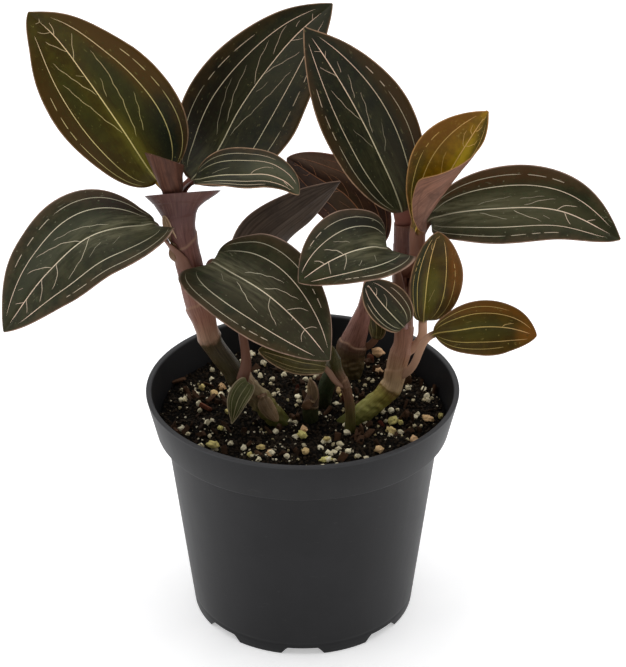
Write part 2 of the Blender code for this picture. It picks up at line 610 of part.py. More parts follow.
def leaf_section(leaf, t, half, roll, back_way, way, face):
    """Points across a leaf's middle surface, left to right, about its spine, and their reach."""
    columns = SMALL_BLADE_COLUMNS if leaf_is_small(leaf) else BLADE_COLUMNS
    right = np.cross(way, face)
    angle = math.radians(blend(leaf["roll"], max(t, 0.0))) if roll is None else roll
    fold = math.radians(leaf["fold"]) * min(1.0, max(t, 0.0) / FOLD_RUN)
    points = []
    for j in range(columns + 1):
        u = 2 * j / columns - 1
        side = 1 if u > 0 else 0
        form = margin(leaf, side, t) if t > 0 or "tube" in leaf and t == 0 else 0.0
        wide = math.hypot(half, leaf["wide"][side] * MM * form)
        bend = angle / 2 * abs(u)
        x = wide * abs(u)
        h = 0.0
        if abs(angle) > 1e-3:
            x = 2 * wide / angle * math.sin(bend)
            h = 2 * wide / angle * (1 - math.cos(bend))
        x, h = x * math.cos(fold) - h * math.sin(fold), x * math.sin(fold) + h * math.cos(fold)
        fade = math.exp(-max(t, 0.0) / LOBE_RUN) * LOBE_GAIN
        back = leaf["lobe"][side] * MM * abs(u) ** LOBE_BOW * form * fade
        points.append((right * math.copysign(x, u) + face * h - back_way * back, wide * abs(u)))
    return points


def leaf_is_small(leaf):
    return path_length(np.array(leaf["spine"], float) * MM) < SMALL_BLADE_LENGTH


def build_leaf(name, leaf):
    whole, inward, sections = leaf_rows(leaf)
    places, ways = path_through(whole, [s[0] for s in sections])
    face_base, face_tip = (np.array(v, float) for v in leaf["face"])
    start_face = face_base if inward is None or not leaf["clasp"] else inward
    back_way = ways[LOBE_FIRST_ROW + len(sections) // LOBE_ROWS_SHARE]
    mid = []
    reach = []
    for place, way, (_, t, half, roll, _) in zip(places, ways, sections):
        face = face_base * (1 - t) + face_tip * t if t >= 0 else start_face * -t + face_base * (1 + t)
        face = face - way * face.dot(way)
        face /= np.linalg.norm(face)
        row = leaf_section(leaf, t, half, roll, back_way, way, face)
        mid.append([place + p for p, _ in row])
        reach.append([r for _, r in row])
    mid = np.array(mid)
    columns = mid.shape[1] - 1
    normal = np.cross(np.gradient(mid, axis=1), np.gradient(mid, axis=0))
    normal /= np.linalg.norm(normal, axis=2, keepdims=True)
    share = min(1.0, max(leaf["wide"]) * MM / KEEL_FULL_WIDTH)
    rings = []
    for i, (_, t, _, _, stalk) in enumerate(sections):
        upper = []
        lower = []
        for j in range(columns + 1):
            u = 2 * j / columns - 1
            thick = max(BLADE_THICKNESS, math.sqrt(max(1 - u * u, 0.0)) * PETIOLE_THICKNESS * stalk)
            keel = 0.0
            if t > 0 and "tube" not in leaf:
                keel = share * MIDRIB_KEEL * (1 - t) * math.exp(-((reach[i][j] / KEEL_REACH) ** 2))
            upper.append(mid[i, j] + normal[i, j] * thick / 2)
            lower.append(mid[i, j] - normal[i, j] * (thick / 2 + keel))
        rings.append(upper + lower[::-1])
    points, faces = leaf_skin(rings, columns)
    return add_object(name, mesh_of(name, points, faces), finish_of(name, leaf["colour"], 0.45))


def leaf_skin(rings, columns):
    """Faces over the rings of a leaf, with the same diagonals on both faces."""
    count = 2 * (columns + 1)
    points = [tuple(p) for ring in rings for p in ring]
    faces = []
    for r in range(len(rings) - 1):
        for k in range(count):
            a = r * count + k
            b = r * count + (k + 1) % count
            c, d = b + count, a + count
            if k <= columns:
                faces += [(a, b, c), (a, c, d)]
            else:
                faces += [(a, b, d), (b, c, d)]
    for r, flip in ((0, True), (len(rings) - 1, False)):
        for j in range(columns):
            a = r * count + j
            b = a + 1
            c = r * count + count - 2 - j
            d = r * count + count - 1 - j
            quad = (a, b, c, d)
            if flip:
                faces += [(quad[0], quad[2], quad[1]), (quad[0], quad[3], quad[2])]
            else:
                faces += [(quad[0], quad[1], quad[2]), (quad[0], quad[2], quad[3])]
    return points, faces


def face_outwards(item):
    """Turns a closed mesh right way out if its volume comes out negative."""
    work = bmesh.new()
    work.from_mesh(item.data)
    if work.calc_volume(signed=True) < 0:
        bmesh.ops.reverse_faces(work, faces=work.faces)
        work.to_mesh(item.data)
    work.free()


def main():
    clear_scene()
    build_pot()
    build_soil()
    for name, stem in STEMS.items():
        build_stem(name, stem)
    for name, leaf in LEAVES.items():
        build_leaf(name, leaf)
    for item in bpy.context.scene.objects:
        face_outwards(item)


main()
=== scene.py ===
import math
import random

import bmesh
import bpy
import numpy as np
from mathutils import Matrix, Vector, noise


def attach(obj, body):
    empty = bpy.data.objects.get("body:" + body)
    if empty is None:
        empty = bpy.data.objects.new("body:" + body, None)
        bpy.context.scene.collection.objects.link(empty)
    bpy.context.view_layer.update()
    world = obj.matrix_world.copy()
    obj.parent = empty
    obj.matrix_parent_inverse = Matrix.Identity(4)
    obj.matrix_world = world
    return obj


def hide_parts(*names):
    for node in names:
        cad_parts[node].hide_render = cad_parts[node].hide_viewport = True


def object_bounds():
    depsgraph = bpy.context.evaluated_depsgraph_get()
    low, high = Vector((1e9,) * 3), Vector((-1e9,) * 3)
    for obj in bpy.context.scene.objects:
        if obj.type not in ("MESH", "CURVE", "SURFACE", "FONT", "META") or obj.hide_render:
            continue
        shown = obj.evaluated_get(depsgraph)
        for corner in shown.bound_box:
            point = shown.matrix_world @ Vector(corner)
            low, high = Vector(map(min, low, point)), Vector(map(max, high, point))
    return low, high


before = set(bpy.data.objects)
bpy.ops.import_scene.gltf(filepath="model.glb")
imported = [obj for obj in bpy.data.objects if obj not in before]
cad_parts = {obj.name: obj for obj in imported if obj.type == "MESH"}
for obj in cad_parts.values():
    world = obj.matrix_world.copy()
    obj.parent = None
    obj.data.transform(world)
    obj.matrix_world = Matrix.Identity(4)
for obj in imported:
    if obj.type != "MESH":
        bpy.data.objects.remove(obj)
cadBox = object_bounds()
print("frame loaded")

mm = 0.001


def newObject(name, data):
    item = bpy.data.objects.new(name, data)
    bpy.context.scene.collection.objects.link(item)
    return item


def meshFrom(name, points, faces, numbers=(), slots=None, edges=()):
    mesh = bpy.data.meshes.new(name)
    mesh.from_pydata([tuple(p) for p in points], edges, faces)
    if slots is not None:
        mesh.polygons.foreach_set("material_index", slots)
    for label, values in dict(numbers).items():
        layer = mesh.attributes.new(label, "FLOAT", "POINT")
        layer.data.foreach_set("value", np.asarray(values, np.float32))
    mesh.shade_smooth()
    mesh.update()
    return mesh


def meshOf(work, name):
    # a smooth mesh of a bmesh, which is let go
    mesh = bpy.data.meshes.new(name)
    work.to_mesh(mesh)
    work.free()
    mesh.shade_smooth()
    return mesh


def circle(radius, height, sides):
    turns = (2 * math.pi * k / sides for k in range(sides))
    return [(radius * math.cos(turn), radius * math.sin(turn), height) for turn in turns]


def quads(rows, sides, first=0, inward=False):
    # the faces between rows + 1 rings of points that follow each other
    faces = []
    for start in range(first, first + rows * sides, sides):
        for k in range(sides):
            a, b = start + k, start + (k + 1) % sides
            faces.append((a, a + sides, b + sides, b) if inward else (a, b, b + sides, a + sides))
    return faces


def lids(rows, sides):
    last = (rows - 1) * sides
    return [tuple(reversed(range(sides))), tuple(range(last, last + sides))]


def faceOut(points, faces):
    # turns every face over if the closed shape has a negative volume
    pts = np.asarray(points, float)
    total = sum(float(np.dot(pts[face[0]], np.cross(pts[b], pts[c])))
                for face in faces for b, c in zip(face[1:], face[2:]))
    return faces if total > 0 else [tuple(reversed(face)) for face in faces]


def bake(item):
    # the evaluated result of an object's modifiers as a plain mesh
    bpy.context.view_layer.update()
    graph = bpy.context.evaluated_depsgraph_get()
    mesh = bpy.data.meshes.new_from_object(item.evaluated_get(graph), depsgraph=graph)
    item.modifiers.clear()
    return mesh


def settle(piece, node):
    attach(piece, "root")
    if node:
        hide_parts(node)


def smooth(value, low, high):
    share = np.clip((value - low) / (high - low), 0, 1)
    return share * share * (3 - 2 * share)


def tone(*levels):
    # a colour as seen, 0 to 255, as the shader's own
    shares = [level / 255 for level in levels]
    return (*(s / 12.92 if s <= 0.04045 else ((s + 0.055) / 1.055) ** 2.4 for s in shares), 1.0)


class Reading:
    # an output of a node, so that what is worked out from it reads as a sum
    def __init__(self, tree, socket):
        self.tree, self.socket = tree, socket

    def calc(self, operation, *others):
        return read(self.tree, "ShaderNodeMath", 0, dict(enumerate((self, *others))), operation=operation)

    def __add__(self, other):
        return self.calc("ADD", other)

    def __sub__(self, other):
        return self.calc("SUBTRACT", other)

    def __mul__(self, other):
        return self.calc("MULTIPLY", other)

    def __abs__(self):
        return self.calc("ABSOLUTE")


def put(tree, kind, inputs=(), **settings):
    # a new node, each input linked to a reading or set to a value
    node = tree.nodes.new(kind)
    for label, value in settings.items():
        setattr(node, label, value)
    for label, value in dict(inputs).items():
        if isinstance(value, Reading):
            tree.links.new(value.socket, node.inputs[label])
        else:
            node.inputs[label].default_value = value
    return node


def read(tree, kind, out, inputs=(), **settings):
    return Reading(tree, put(tree, kind, inputs, **settings).outputs[out])


def axis(vector, number):
    return read(vector.tree, "ShaderNodeSeparateXYZ", number, {0: vector})


def vectorOf(x, y, z):
    return read(x.tree, "ShaderNodeCombineXYZ", 0, {0: x, 1: y, 2: z})


def band(value, low, high, amount=1.0):
    # 0 at low to amount at high, with soft ends
    return read(value.tree, "ShaderNodeMapRange", "Result", interpolation_type="SMOOTHSTEP",
                inputs={"Value": value, "From Min": low, "From Max": high, "To Max": amount})


def blend(factor, first, second, mode="MIX"):
    # each of the two is a reading or a colour, 0 to 255
    first, second = (tone(*side) if isinstance(side, tuple) else side for side in (first, second))
    return read(factor.tree, "ShaderNodeMix", 2, {0: factor, 6: first, 7: second}, data_type="RGBA", blend_type=mode)


def ramp(factor, stops):
    node = put(factor.tree, "ShaderNodeValToRGB", {"Fac": factor})
    marks = node.color_ramp.elements
    while len(marks) < len(stops):
        marks.new(0.5)
    for mark, (place, colour) in zip(marks, stops):
        mark.position = place
        mark.color = tone(*colour)
    return Reading(factor.tree, node.outputs["Color"])


def kept(material, label):
    # a number that the mesh holds for each of its points
    return read(material.node_tree, "ShaderNodeAttribute", "Fac", attribute_name=label)


def placeIn(material):
    return read(material.node_tree, "ShaderNodeTexCoord", "Object")


def stretched(vector, scale, turn=(0, 0, 0)):
    return read(vector.tree, "ShaderNodeMapping", "Vector", {"Vector": vector, "Scale": scale, "Rotation": turn})


def cloud(vector, scale, detail=2.0, rough=0.5):
    return read(vector.tree, "ShaderNodeTexNoise", "Fac",
                {"Vector": vector, "Scale": scale, "Detail": detail, "Roughness": rough})


def cells(vector, scale):
    return read(vector.tree, "ShaderNodeTexVoronoi", "Distance", {"Vector": vector, "Scale": scale})


def newFinish(name, specular, **values):
    material = bpy.data.materials.new(name)
    material.use_nodes = True
    shader = material.node_tree.nodes["Principled BSDF"]
    for label, value in dict(Specular_IOR_Level=specular, **values).items():
        shader.inputs[label.replace("_", " ")].default_value = value
    return material


def coat(material, colour, rough=None, height=None, strength=0.0, depth=0.0):
    # the readings that the surface shows: its colour, how dull it is and its fine relief
    tree = material.node_tree
    bump = height and read(tree, "ShaderNodeBump", "Normal",
                           {"Height": height, "Strength": strength, "Distance": depth})
    for label, value in (("Base Color", colour), ("Roughness", rough), ("Normal", bump)):
        if value:
            tree.links.new(value.socket, tree.nodes["Principled BSDF"].inputs[label])
    return material


studio = dict(
    imageHeight=667, focalPixels=1988, lookDown=28.1, distance=0.750, aim=(0.00395, 0.0, 0.1172),
    floorSize=30.0, floorTone=(236, 236, 238), floorLight=(250, 250, 250), floorGlow=0.42,
    worldFront=0.12, worldBack=0.45,
    # each soft light: where it shines from, its strength and how wide it is in degrees
    lights=dict(sky=((-0.05, 0.25, 1.0), 1.7, 85), left=((-1.0, -0.1, 0.4), 0.85, 70),
                right=((1.0, -0.05, 0.4), 0.8, 70)),
)


def setCamera():
    look = math.radians(studio["lookDown"])
    forward = Vector((0, math.cos(look), -math.sin(look)))
    data = bpy.data.cameras.new("camera")
    data.sensor_fit, data.sensor_height, data.clip_end = "VERTICAL", 36, 100
    data.lens = studio["focalPixels"] / studio["imageHeight"] * data.sensor_height
    camera = newObject("camera", data)
    camera.location = Vector(studio["aim"]) - forward * studio["distance"]
    camera.rotation_euler = forward.to_track_quat("-Z", "Y").to_euler()
    bpy.context.scene.camera = camera


def setStudio():
    bpy.context.scene.view_settings.view_transform = "Standard"
    world = bpy.data.worlds.new("studio")
    bpy.context.scene.world = world
    world.use_nodes = True
    # the room is dimmer in front than behind, so that leaves facing the camera stay deep in colour
    tree, back = world.node_tree, world.node_tree.nodes["Background"]
    way = axis(read(tree, "ShaderNodeTexCoord", "Generated"), 1)
    strength = band(way, -0.8, 0.8, studio["worldBack"] - studio["worldFront"]) + studio["worldFront"]
    tree.links.new(strength.socket, back.inputs["Strength"])
    back.inputs["Color"].default_value = (1, 1, 1, 1)
    for name, (source, strength, spread) in studio["lights"].items():
        data = bpy.data.lights.new(name, "SUN")
        data.energy, data.angle = strength, math.radians(spread)
        newObject(name, data).rotation_euler = Vector(source).to_track_quat("Z", "Y").to_euler()

    half = studio["floorSize"] / 2
    corners = [(-half, -half, 0), (half, -half, 0), (half, half, 0), (-half, half, 0)]
    floor = newObject("floor", meshFrom("floor", corners, [(0, 1, 2, 3)]))
    finish = newFinish("pale_floor", 0.1, Roughness=0.9, Emission_Color=(1, 1, 1, 1),
                       Emission_Strength=studio["floorGlow"])
    floor.data.materials.append(coat(finish, blend(cloud(placeIn(finish), 60.0), studio["floorTone"],
                                                   studio["floorLight"])))


setCamera()
setStudio()
print("camera, lights and floor")


pot = dict(
    rimRadius=60.0, height=95.0, baseRadius=43.6, bodyTop=52.7, bandBottom=56.2, bandHeight=16.5, lip=2.2,
    wall=1.6, corner=0.7, foot=3.4, notches=8, notchWidth=15.5, notchTaper=1.5, padRadius=12.0,
    drainRadius=3.5, drainRing=33.0, sides=176, creaseHeight=5.0, creaseDepth=0.12,
)
bandStart = pot["height"] - pot["bandHeight"]


def potWall(height, inner):
    # the wall's radius
    if height < bandStart:
        outer = pot["baseRadius"] + (pot["bodyTop"] - pot["baseRadius"]) * height / bandStart
        return outer - pot["wall"] if inner else outer
    low, high = pot["bandBottom"], pot["rimRadius"]
    if inner:
        low, high = low - pot["wall"], high - pot["lip"]
    return low + (high - low) * (height - bandStart) / pot["bandHeight"]


def rounded(points, radius, steps=4):
    # rounds the inner corners of an open outline
    result = [points[0]]
    for before, here, after in zip(points, points[1:], points[2:]):
        here = np.array(here, float)
        ends = [np.array(end) - here for end in (before, after)]
        reach = min(radius, *(0.45 * np.linalg.norm(end) for end in ends))
        back, ahead = (here + end / np.linalg.norm(end) * reach for end in ends)
        for s in np.arange(steps + 1) / steps:
            result.append(tuple(back * (1 - s) ** 2 + here * 2 * s * (1 - s) + ahead * s ** 2))
    result.append(points[-1])
    return result


def potFinish():
    finish = newFinish("black_plastic", 0.2)
    place = placeIn(finish)
    flow = cloud(stretched(place, (1, 1, 0.15)), 240, 3, 0.6)
    haze, fine = cloud(place, 38, 4, 0.6), cloud(place, 2600)
    scuff = band(cloud(stretched(place, (0.5, 0.5, 3.0), (0.2, 0.1, 0)), 420, 3, 0.7), 0.66, 0.76)
    # the lip, paler grey: partly dust, partly a painted highlight on its rounded top
    lipDustAndPaintedHighlight = band(axis(place, 2), 0.0938, 0.0948, 0.55)  # the lip
    colour = blend(band(haze, 0.3, 0.75), (22, 22, 24), (30, 30, 32))
    colour = blend(lipDustAndPaintedHighlight * (haze * 0.8 + 0.4), colour, (78, 78, 80))
    colour = blend(scuff * 0.12, colour, (120, 118, 115))
    return coat(finish, colour, flow * 0.06 + haze * 0.16 + 0.36, flow * 0.6 + fine * 0.4, 0.16, 0.0003)


def buildPot():
    floorTop, ring = pot["foot"] + pot["wall"], pot["baseRadius"] - 2 * pot["wall"]
    crease, foot, sides = pot["creaseHeight"], pot["foot"], pot["sides"]
    inner = [(potWall(z, True), z) for z in (bandStart + pot["wall"], bandStart - pot["wall"], floorTop)]
    outline = rounded([
        (0, 0), (pot["padRadius"], 0), (pot["padRadius"], foot), (ring, foot), (ring, 0),
        (pot["baseRadius"], 0), (potWall(crease - 1, False), crease - 1),
        (potWall(crease, False) - pot["creaseDepth"], crease), (potWall(crease + 1, False), crease + 1),
        (pot["bodyTop"], bandStart - 0.1), (pot["bandBottom"], bandStart), (pot["rimRadius"], pot["height"]),
        (pot["rimRadius"] - pot["lip"], pot["height"]), *inner, (0, floorTop)], pot["corner"])[1:-1]
    points = np.array([point for radius, height in outline for point in circle(radius, height, sides)]) * mm
    faces = quads(len(outline) - 1, sides) + lids(len(outline), sides)
    piece = newObject("pot_shell", meshFrom("pot_shell", points, faceOut(points, faces)))

    cutters = bmesh.new()
    half, taper = pot["notchWidth"] / 2, pot["notchTaper"]
    right = [(half - taper - 0.5, foot - 0.1), (half - taper + 0.4, foot - 0.9), (half + taper, -1)]
    arch = [(-x, z) for x, z in right[::-1]] + right
    for k in range(pot["notches"]):
        turn = Matrix.Rotation(2 * math.pi * k / pot["notches"], 4, "Z")
        near, far = ([cutters.verts.new(turn @ Vector((x, -out, z)) * mm) for x, z in arch]
                     for out in (pot["baseRadius"] + 4, ring - pot["wall"]))
        cutters.faces.new(near)
        cutters.faces.new(far[::-1])
        for i in range(len(arch)):
            j = (i + 1) % len(arch)
            cutters.faces.new((near[j], near[i], far[i], far[j]))
        hole = bmesh.ops.create_cone(cutters, cap_ends=True, segments=32, radius1=pot["drainRadius"] * mm,
                                     radius2=pot["drainRadius"] * mm, depth=5 * mm)
        shift = turn @ Matrix.Translation((0, -pot["drainRing"] * mm, (foot + pot["wall"] / 2) * mm))
        bmesh.ops.transform(cutters, matrix=shift, verts=hole["verts"])
    bmesh.ops.recalc_face_normals(cutters, faces=cutters.faces)
    guide = newObject("notches", meshOf(cutters, "notches"))
    change = piece.modifiers.new("cut", "BOOLEAN")
    change.operation, change.object, change.solver = "DIFFERENCE", guide, "EXACT"
    piece.data = bake(piece)
    bpy.data.objects.remove(guide)
    piece.data.shade_smooth()
    piece.data.set_sharp_from_angle(angle=math.radians(32))
    piece.data.materials.clear()
    piece.data.materials.append(potFinish())
    settle(piece, "pot")


buildPot()
print("pot")


stemPlans = {
    "stem_left": dict(
        points=((-10, -6, 83), (-14, -6, 89), (-23, -5, 99), (-29, -5, 108), (-34, -5, 116), (-37, -6, 128),
            (-40, -7, 142), (-42, -8, 155), (-44, -9, 167), (-45, -7, 178)),
        radii=((0, 4), (0.2, 4.3), (0.23, 4.7), (0.26, 3.9), (0.38, 4), (0.42, 4.5), (0.45, 4.1), (0.56, 5.2),
            (0.66, 5), (0.8, 4.6), (0.88, 5.2), (0.93, 6.4), (0.97, 8.8), (1, 11.6)), cup=(6.5, 0.9),
        flare=(180, 4.5), lean=2.8, foot=0.9, rings=((0.21, 0.2, 0.9), (0.415, 0.2, 0.8)), slot="green_stem",
        tones=((0, (84, 86, 36)), (0.06, (122, 114, 62)), (0.12, (142, 126, 92)), (0.185, (150, 128, 98)),
            (0.2, (62, 54, 32)), (0.26, (58, 50, 26)), (0.36, (64, 52, 30)), (0.39, (146, 112, 88)),
            (0.46, (134, 92, 74)), (0.58, (122, 80, 68)), (0.7, (108, 68, 58)), (0.84, (92, 62, 58))),
        inside=(104, 78, 72),
        collars=((0.2, 1.6, 30, 0.35), (0.56, 7, 290, 0.45), (0.72, 6, 200, 0.45), (0.84, 5, 60, 0.35))),
    "stem_back": dict(
        points=((19, 30, 83), (19, 31, 93), (22, 31, 104), (25, 31, 116), (26, 30, 124)),
        radii=((0, 4.3), (0.12, 5.5), (0.26, 5.9), (0.34, 5.1), (0.5, 4.2), (0.7, 2.8), (1, 2.3)), cup=None, foot=0.8,
        rings=((0.3, 0.15, 0.9),), slot="stem_flesh",
        tones=((0, (76, 66, 38)), (0.14, (98, 82, 54)), (0.24, (88, 68, 48)), (0.29, (84, 56, 42)),
            (0.33, (134, 94, 80)), (0.6, (140, 96, 84)), (0.9, (146, 102, 90))), inside=(140, 100, 88),
        collars=((0.32, 3, 240, 0.3),)),
    "stem_right": dict(
        points=((20, -5, 83), (28, -3, 89), (34, -1, 95), (36, 0, 104), (38, 0, 114), (38, 0, 127), (37, 0, 142),
            (37, 0, 154), (37, 0, 163)),
        radii=((0, 3.8), (0.16, 3.8), (0.2, 4.4), (0.24, 3.8), (0.38, 4), (0.42, 3.4), (0.7, 3.4), (0.85, 3.5),
            (0.94, 3.6), (1, 3.4)), cup=(4, 0.6), foot=0.6, rings=((0.205, 0.25, 0.7), (0.39, 0.12, 0.8)),
        slot="stem_flesh",
        tones=((0, (96, 98, 44)), (0.07, (158, 156, 84)), (0.15, (156, 144, 66)), (0.18, (160, 132, 76)),
            (0.2, (202, 172, 132)), (0.26, (180, 144, 108)), (0.36, (156, 112, 88)), (0.55, (126, 84, 68)),
            (0.7, (118, 78, 66)), (0.84, (98, 62, 52))), inside=(112, 76, 60),
        collars=((0.3, 4, 300, 0.4), (0.52, 5, 230, 0.35), (0.74, 5, 120, 0.35))),
    "shoot_front": dict(
        points=((18, -13, 83), (18, -13, 91), (16, -13, 102), (13, -13, 109), (11, -12, 118)),
        radii=((0, 2.1), (0.5, 1.7), (0.75, 2), (0.85, 2.3), (1, 0.7)), cup=None, rings=((0.52, 0.2, 0.5),),
        slot="green_stem",
        tones=((0, (78, 78, 34)), (0.18, (96, 86, 46)), (0.36, (118, 86, 64)), (0.6, (106, 76, 54)),
            (0.7, (62, 58, 20)), (0.84, (60, 56, 20))), inside=(90, 80, 40), collars=((0.62, 1.2, 90, 0.25),)),
    "stub_green": dict(
        points=((8, 6, 83), (9, 6, 90), (11, 6, 97), (12, 6, 103)),
        radii=((0, 2.9), (0.5, 3.2), (0.9, 2.9), (1, 2.3)), cup=None, rings=((0.3, 0.15, 0.6),), slot="green_stem",
        tones=((0, (44, 46, 26)), (0.35, (46, 58, 34)), (0.66, (66, 76, 50)), (0.84, (104, 98, 78))),
        inside=(120, 112, 90), collars=()),
    "stub_papery": dict(
        points=((3, -5, 83), (3, -5, 88), (4, -5, 94), (4, -5, 99)),
        radii=((0, 2.9), (0.5, 2.7), (0.8, 1.9), (1, 0.8)), cup=None, rings=((0.45, 0.2, 0.5),), slot="dry_sheath",
        tones=((0, (48, 54, 30)), (0.28, (56, 60, 36)), (0.42, (104, 84, 68)), (0.84, (128, 100, 84))),
        inside=(150, 125, 110), collars=((0.4, 1.2, 200, 0.3),)),
}


def pathThrough(points, fractions):
    # places and directions at fractions of a smooth path's length
    knots = np.array(points, float)
    steps = np.diff(knots, axis=0)
    spans = np.linalg.norm(steps, axis=1)
    slopes = steps / spans[:, None]
    share = (spans[1:] / (spans[1:] + spans[:-1]))[:, None]
    tangents = np.vstack([slopes[:1], slopes[:-1] * share + slopes[1:] * (1 - share), slopes[-1:]])
    t = np.linspace(0, 1, 24, endpoint=False)[:, None]
    fine = [knots[i] + steps[i] * (3 * t ** 2 - 2 * t ** 3) + tangents[i] * span * (t ** 3 - 2 * t ** 2 + t)
            + tangents[i + 1] * span * (t ** 3 - t ** 2) for i, span in enumerate(spans)]
    fine = np.vstack([*fine, knots[-1:]])
    run = np.concatenate([[0], np.cumsum(np.linalg.norm(np.diff(fine, axis=0), axis=1))])

    def at(f):
        f = np.clip(np.asarray(f, float), 0, 1)
        return np.stack([np.interp(f, run / run[-1], fine[:, k]) for k in range(3)], axis=-1)

    fractions = np.asarray(fractions, float)
    ways = at(fractions + 0.02) - at(fractions - 0.02)
    return at(fractions), ways / np.linalg.norm(ways, axis=-1, keepdims=True)


def pathLength(points):
    places, _ = pathThrough(points, np.linspace(0, 1, 60))
    return float(np.linalg.norm(np.diff(places, axis=0), axis=1).sum())


def stemRadius(stem, fraction):
    # in millimetres
    return np.interp(fraction, *zip(*stem["radii"]))


stemSkin = dict(rows=200, sides=40, ridges=9, ridgeHeight=0.05, lump=0.10, insideRows=8, below=6.0,
                edgeLine=0.45, edgeTone=0.4, sheathRun=9.0, sheathSoft=0.25, cupNarrows=0.88)


def stemFinish(name, stem):
    finish = newFinish(name, 0.18, Subsurface_Weight=0.06, Subsurface_Scale=0.002)
    along, place = kept(finish, "along"), placeIn(finish)
    line = vectorOf(kept(finish, "around") * 14.0, along * 6.0, 0)
    streak, fineStreak = cloud(line, 1.6, 3, 0.6), cloud(stretched(line, (4, 1, 1)), 2.4, 2, 0.6)
    patch = cloud(place, 260, 3, 0.6)
    colour = ramp((patch - 0.5) * 0.05 + along, [*stem["tones"], (0.96, stem["inside"])])
    colour = blend(band(streak, 0.42, 0.75, 0.6), colour, (150, 120, 112), "MULTIPLY")
    colour = blend(band(fineStreak, 0.56, 0.75, 0.22), colour, (190, 156, 130))
    colour = blend(band(cells(place, 900), 0.16, 0.05, 0.25), colour, (64, 42, 32))
    colour = blend(kept(finish, "sheathEdge") * stemSkin["edgeTone"], colour, (168, 134, 104))
    return coat(finish, colour, patch * 0.25 + 0.32, fineStreak + patch * 0.4, 0.35, 0.0004)


def buildStem(name, stem):
    length, cup, sides, seed = pathLength(stem["points"]), stem["cup"], stemSkin["sides"], len(name)
    knots = [knot[0] for knot in (*stem["radii"], *stem["rings"])]
    fractions = np.unique(np.concatenate([np.linspace(0, 1, stemSkin["rows"]), knots]))
    places, ways = pathThrough(stem["points"], fractions)
    kernel = np.exp(-(np.arange(-4, 5) / 2.2) ** 2)
    radii = np.convolve(np.pad(stemRadius(stem, fractions), 4, mode="edge"), kernel / kernel.sum(), mode="valid")
    if cup:
        radii[-6:] = stemRadius(stem, fractions[-6:])
    turns = 2 * math.pi * np.arange(sides) / sides
    rows, edges = [], [np.zeros(sides)]
    for i, (f, place, way) in enumerate(zip(fractions, places, ways)):
        first = np.cross(way, (0, 1, 0))
        first /= np.linalg.norm(first)
        second = np.cross(way, first)
        radius, dry = np.full(sides, radii[i]), np.zeros(sides)
        for at, height, width in stem["rings"]:
            wavy = at * length + 0.3 * np.sin(2 * turns + seed)
            radius += height * np.exp(-((f * length - wavy) / width) ** 2)
        for at, slant, phase, step in stem["collars"]:
            # a sheath's edge rises in a V on both sides of its lowest point
            away = np.abs((turns - math.radians(phase) + math.pi) % (2 * math.pi) - math.pi) / math.pi
            edge = at * length + slant * (away - 0.5) + 0.2 * np.sin(5 * turns + seed)
            soft, high = stemSkin["sheathSoft"], f * length
            swelling = smooth(high, edge - stemSkin["sheathRun"], edge)
            radius += step * (1 - smooth(high, edge - soft, edge + soft)) * swelling
            dry = np.maximum(dry, np.exp(-((f * length - edge) / stemSkin["edgeLine"]) ** 2))
        calm = 1 - smooth(f, 0.9, 0.97) if cup else 1.0
        radius += stemSkin["ridgeHeight"] * np.sin(stemSkin["ridges"] * turns + 3 * math.sin(6 * f)) * calm
        for k, turn in enumerate(turns):
            spot = Vector((math.cos(turn) * 1.3, math.sin(turn) * 1.3, f * length / 4 + seed * 3))
            radius[k] += stemSkin["lump"] * noise.noise(spot) * calm
            radius[k] += stem.get("foot", 0) * noise.noise(spot * 2.2) * (1 - smooth(f, 0.16, 0.26))
        if not cup:
            radius *= math.sqrt(max(1 - smooth(f, 0.97, 1.0) * 0.55, 0.1))
        elif f > 0.9:
            radius = np.minimum(radius + 0.25 * np.sin(3 * turns + 1) * (f - 0.9) * 10, stemRadius(stem, 1.0))
            toward, amount = stem.get("flare", (0, 0))
            radius += amount * np.maximum(np.cos(turns - math.radians(toward)), 0) ** 2 * smooth(f, 0.94, 1.0)
        ring = place + np.outer(np.cos(turns) * radius, first) + np.outer(np.sin(turns) * radius, second)
        if "lean" in stem:  # the mouth opens backwards, its front edge higher than its back edge
            ring += np.outer((place - ring)[:, 1] * stem["lean"] / radii[-1] * smooth(f, 0.9, 1.0), way)
        rows.append((ring, f * 0.9))
        edges.append(dry)
    rows.insert(0, (rows[0][0] - ways[0] * stemSkin["below"], 0.0))
    top, up = places[-1], ways[-1]
    offsets = rows[-1][0] - top
    if cup:
        depth, wall = cup
        mouth = np.linalg.norm(offsets, axis=1).mean()
        floorShare = (stemRadius(stem, 0.94) - wall) * stemSkin["cupNarrows"] / mouth
        for s in np.arange(stemSkin["insideRows"] + 1) / stemSkin["insideRows"]:
            share = floorShare + (1 - 0.3 / mouth - floorShare) * (1 - s) ** 1.6
            rows.append((top - up * depth * s + offsets * share, 0.97))
        rows.append((top - up * depth + offsets * floorShare * 0.5, 0.98))
    else:
        rows += [(top + up * 0.3 + offsets * 0.7, 0.92), (top + up * 0.25 + offsets * 0.3, 0.93)]
    points = np.vstack([ring for ring, _ in rows]) * mm
    edges += [np.zeros(sides)] * (len(rows) - len(edges))
    numbers = dict(along=np.repeat([value for _, value in rows], sides), sheathEdge=np.concatenate(edges),
                   around=np.tile(np.abs(turns / math.pi - 1), len(rows)))
    faces = faceOut(points, quads(len(rows) - 1, sides) + lids(len(rows), sides))
    mesh = meshFrom(name + "_skin", points, faces, numbers)
    mesh.materials.append(stemFinish(name + "_finish", stem))
    settle(newObject(name + "_skin", mesh), name)


for stemName, stemPlan in stemPlans.items():
    buildStem(stemName, stemPlan)
print("stems")


# "laterals" are the long veins of the left and of the right half: the share of the half-width where each one
# runs, where it starts and ends along the blade, and how strong it is
usualLaterals = ((0.55, 0.012, 0.95, 0.92), (0.81, 0.02, 0.72, 0.7))
wideLaterals = ((0.65, 0.012, 0.93, 0.92), (0.88, 0.03, 0.62, 0.7))
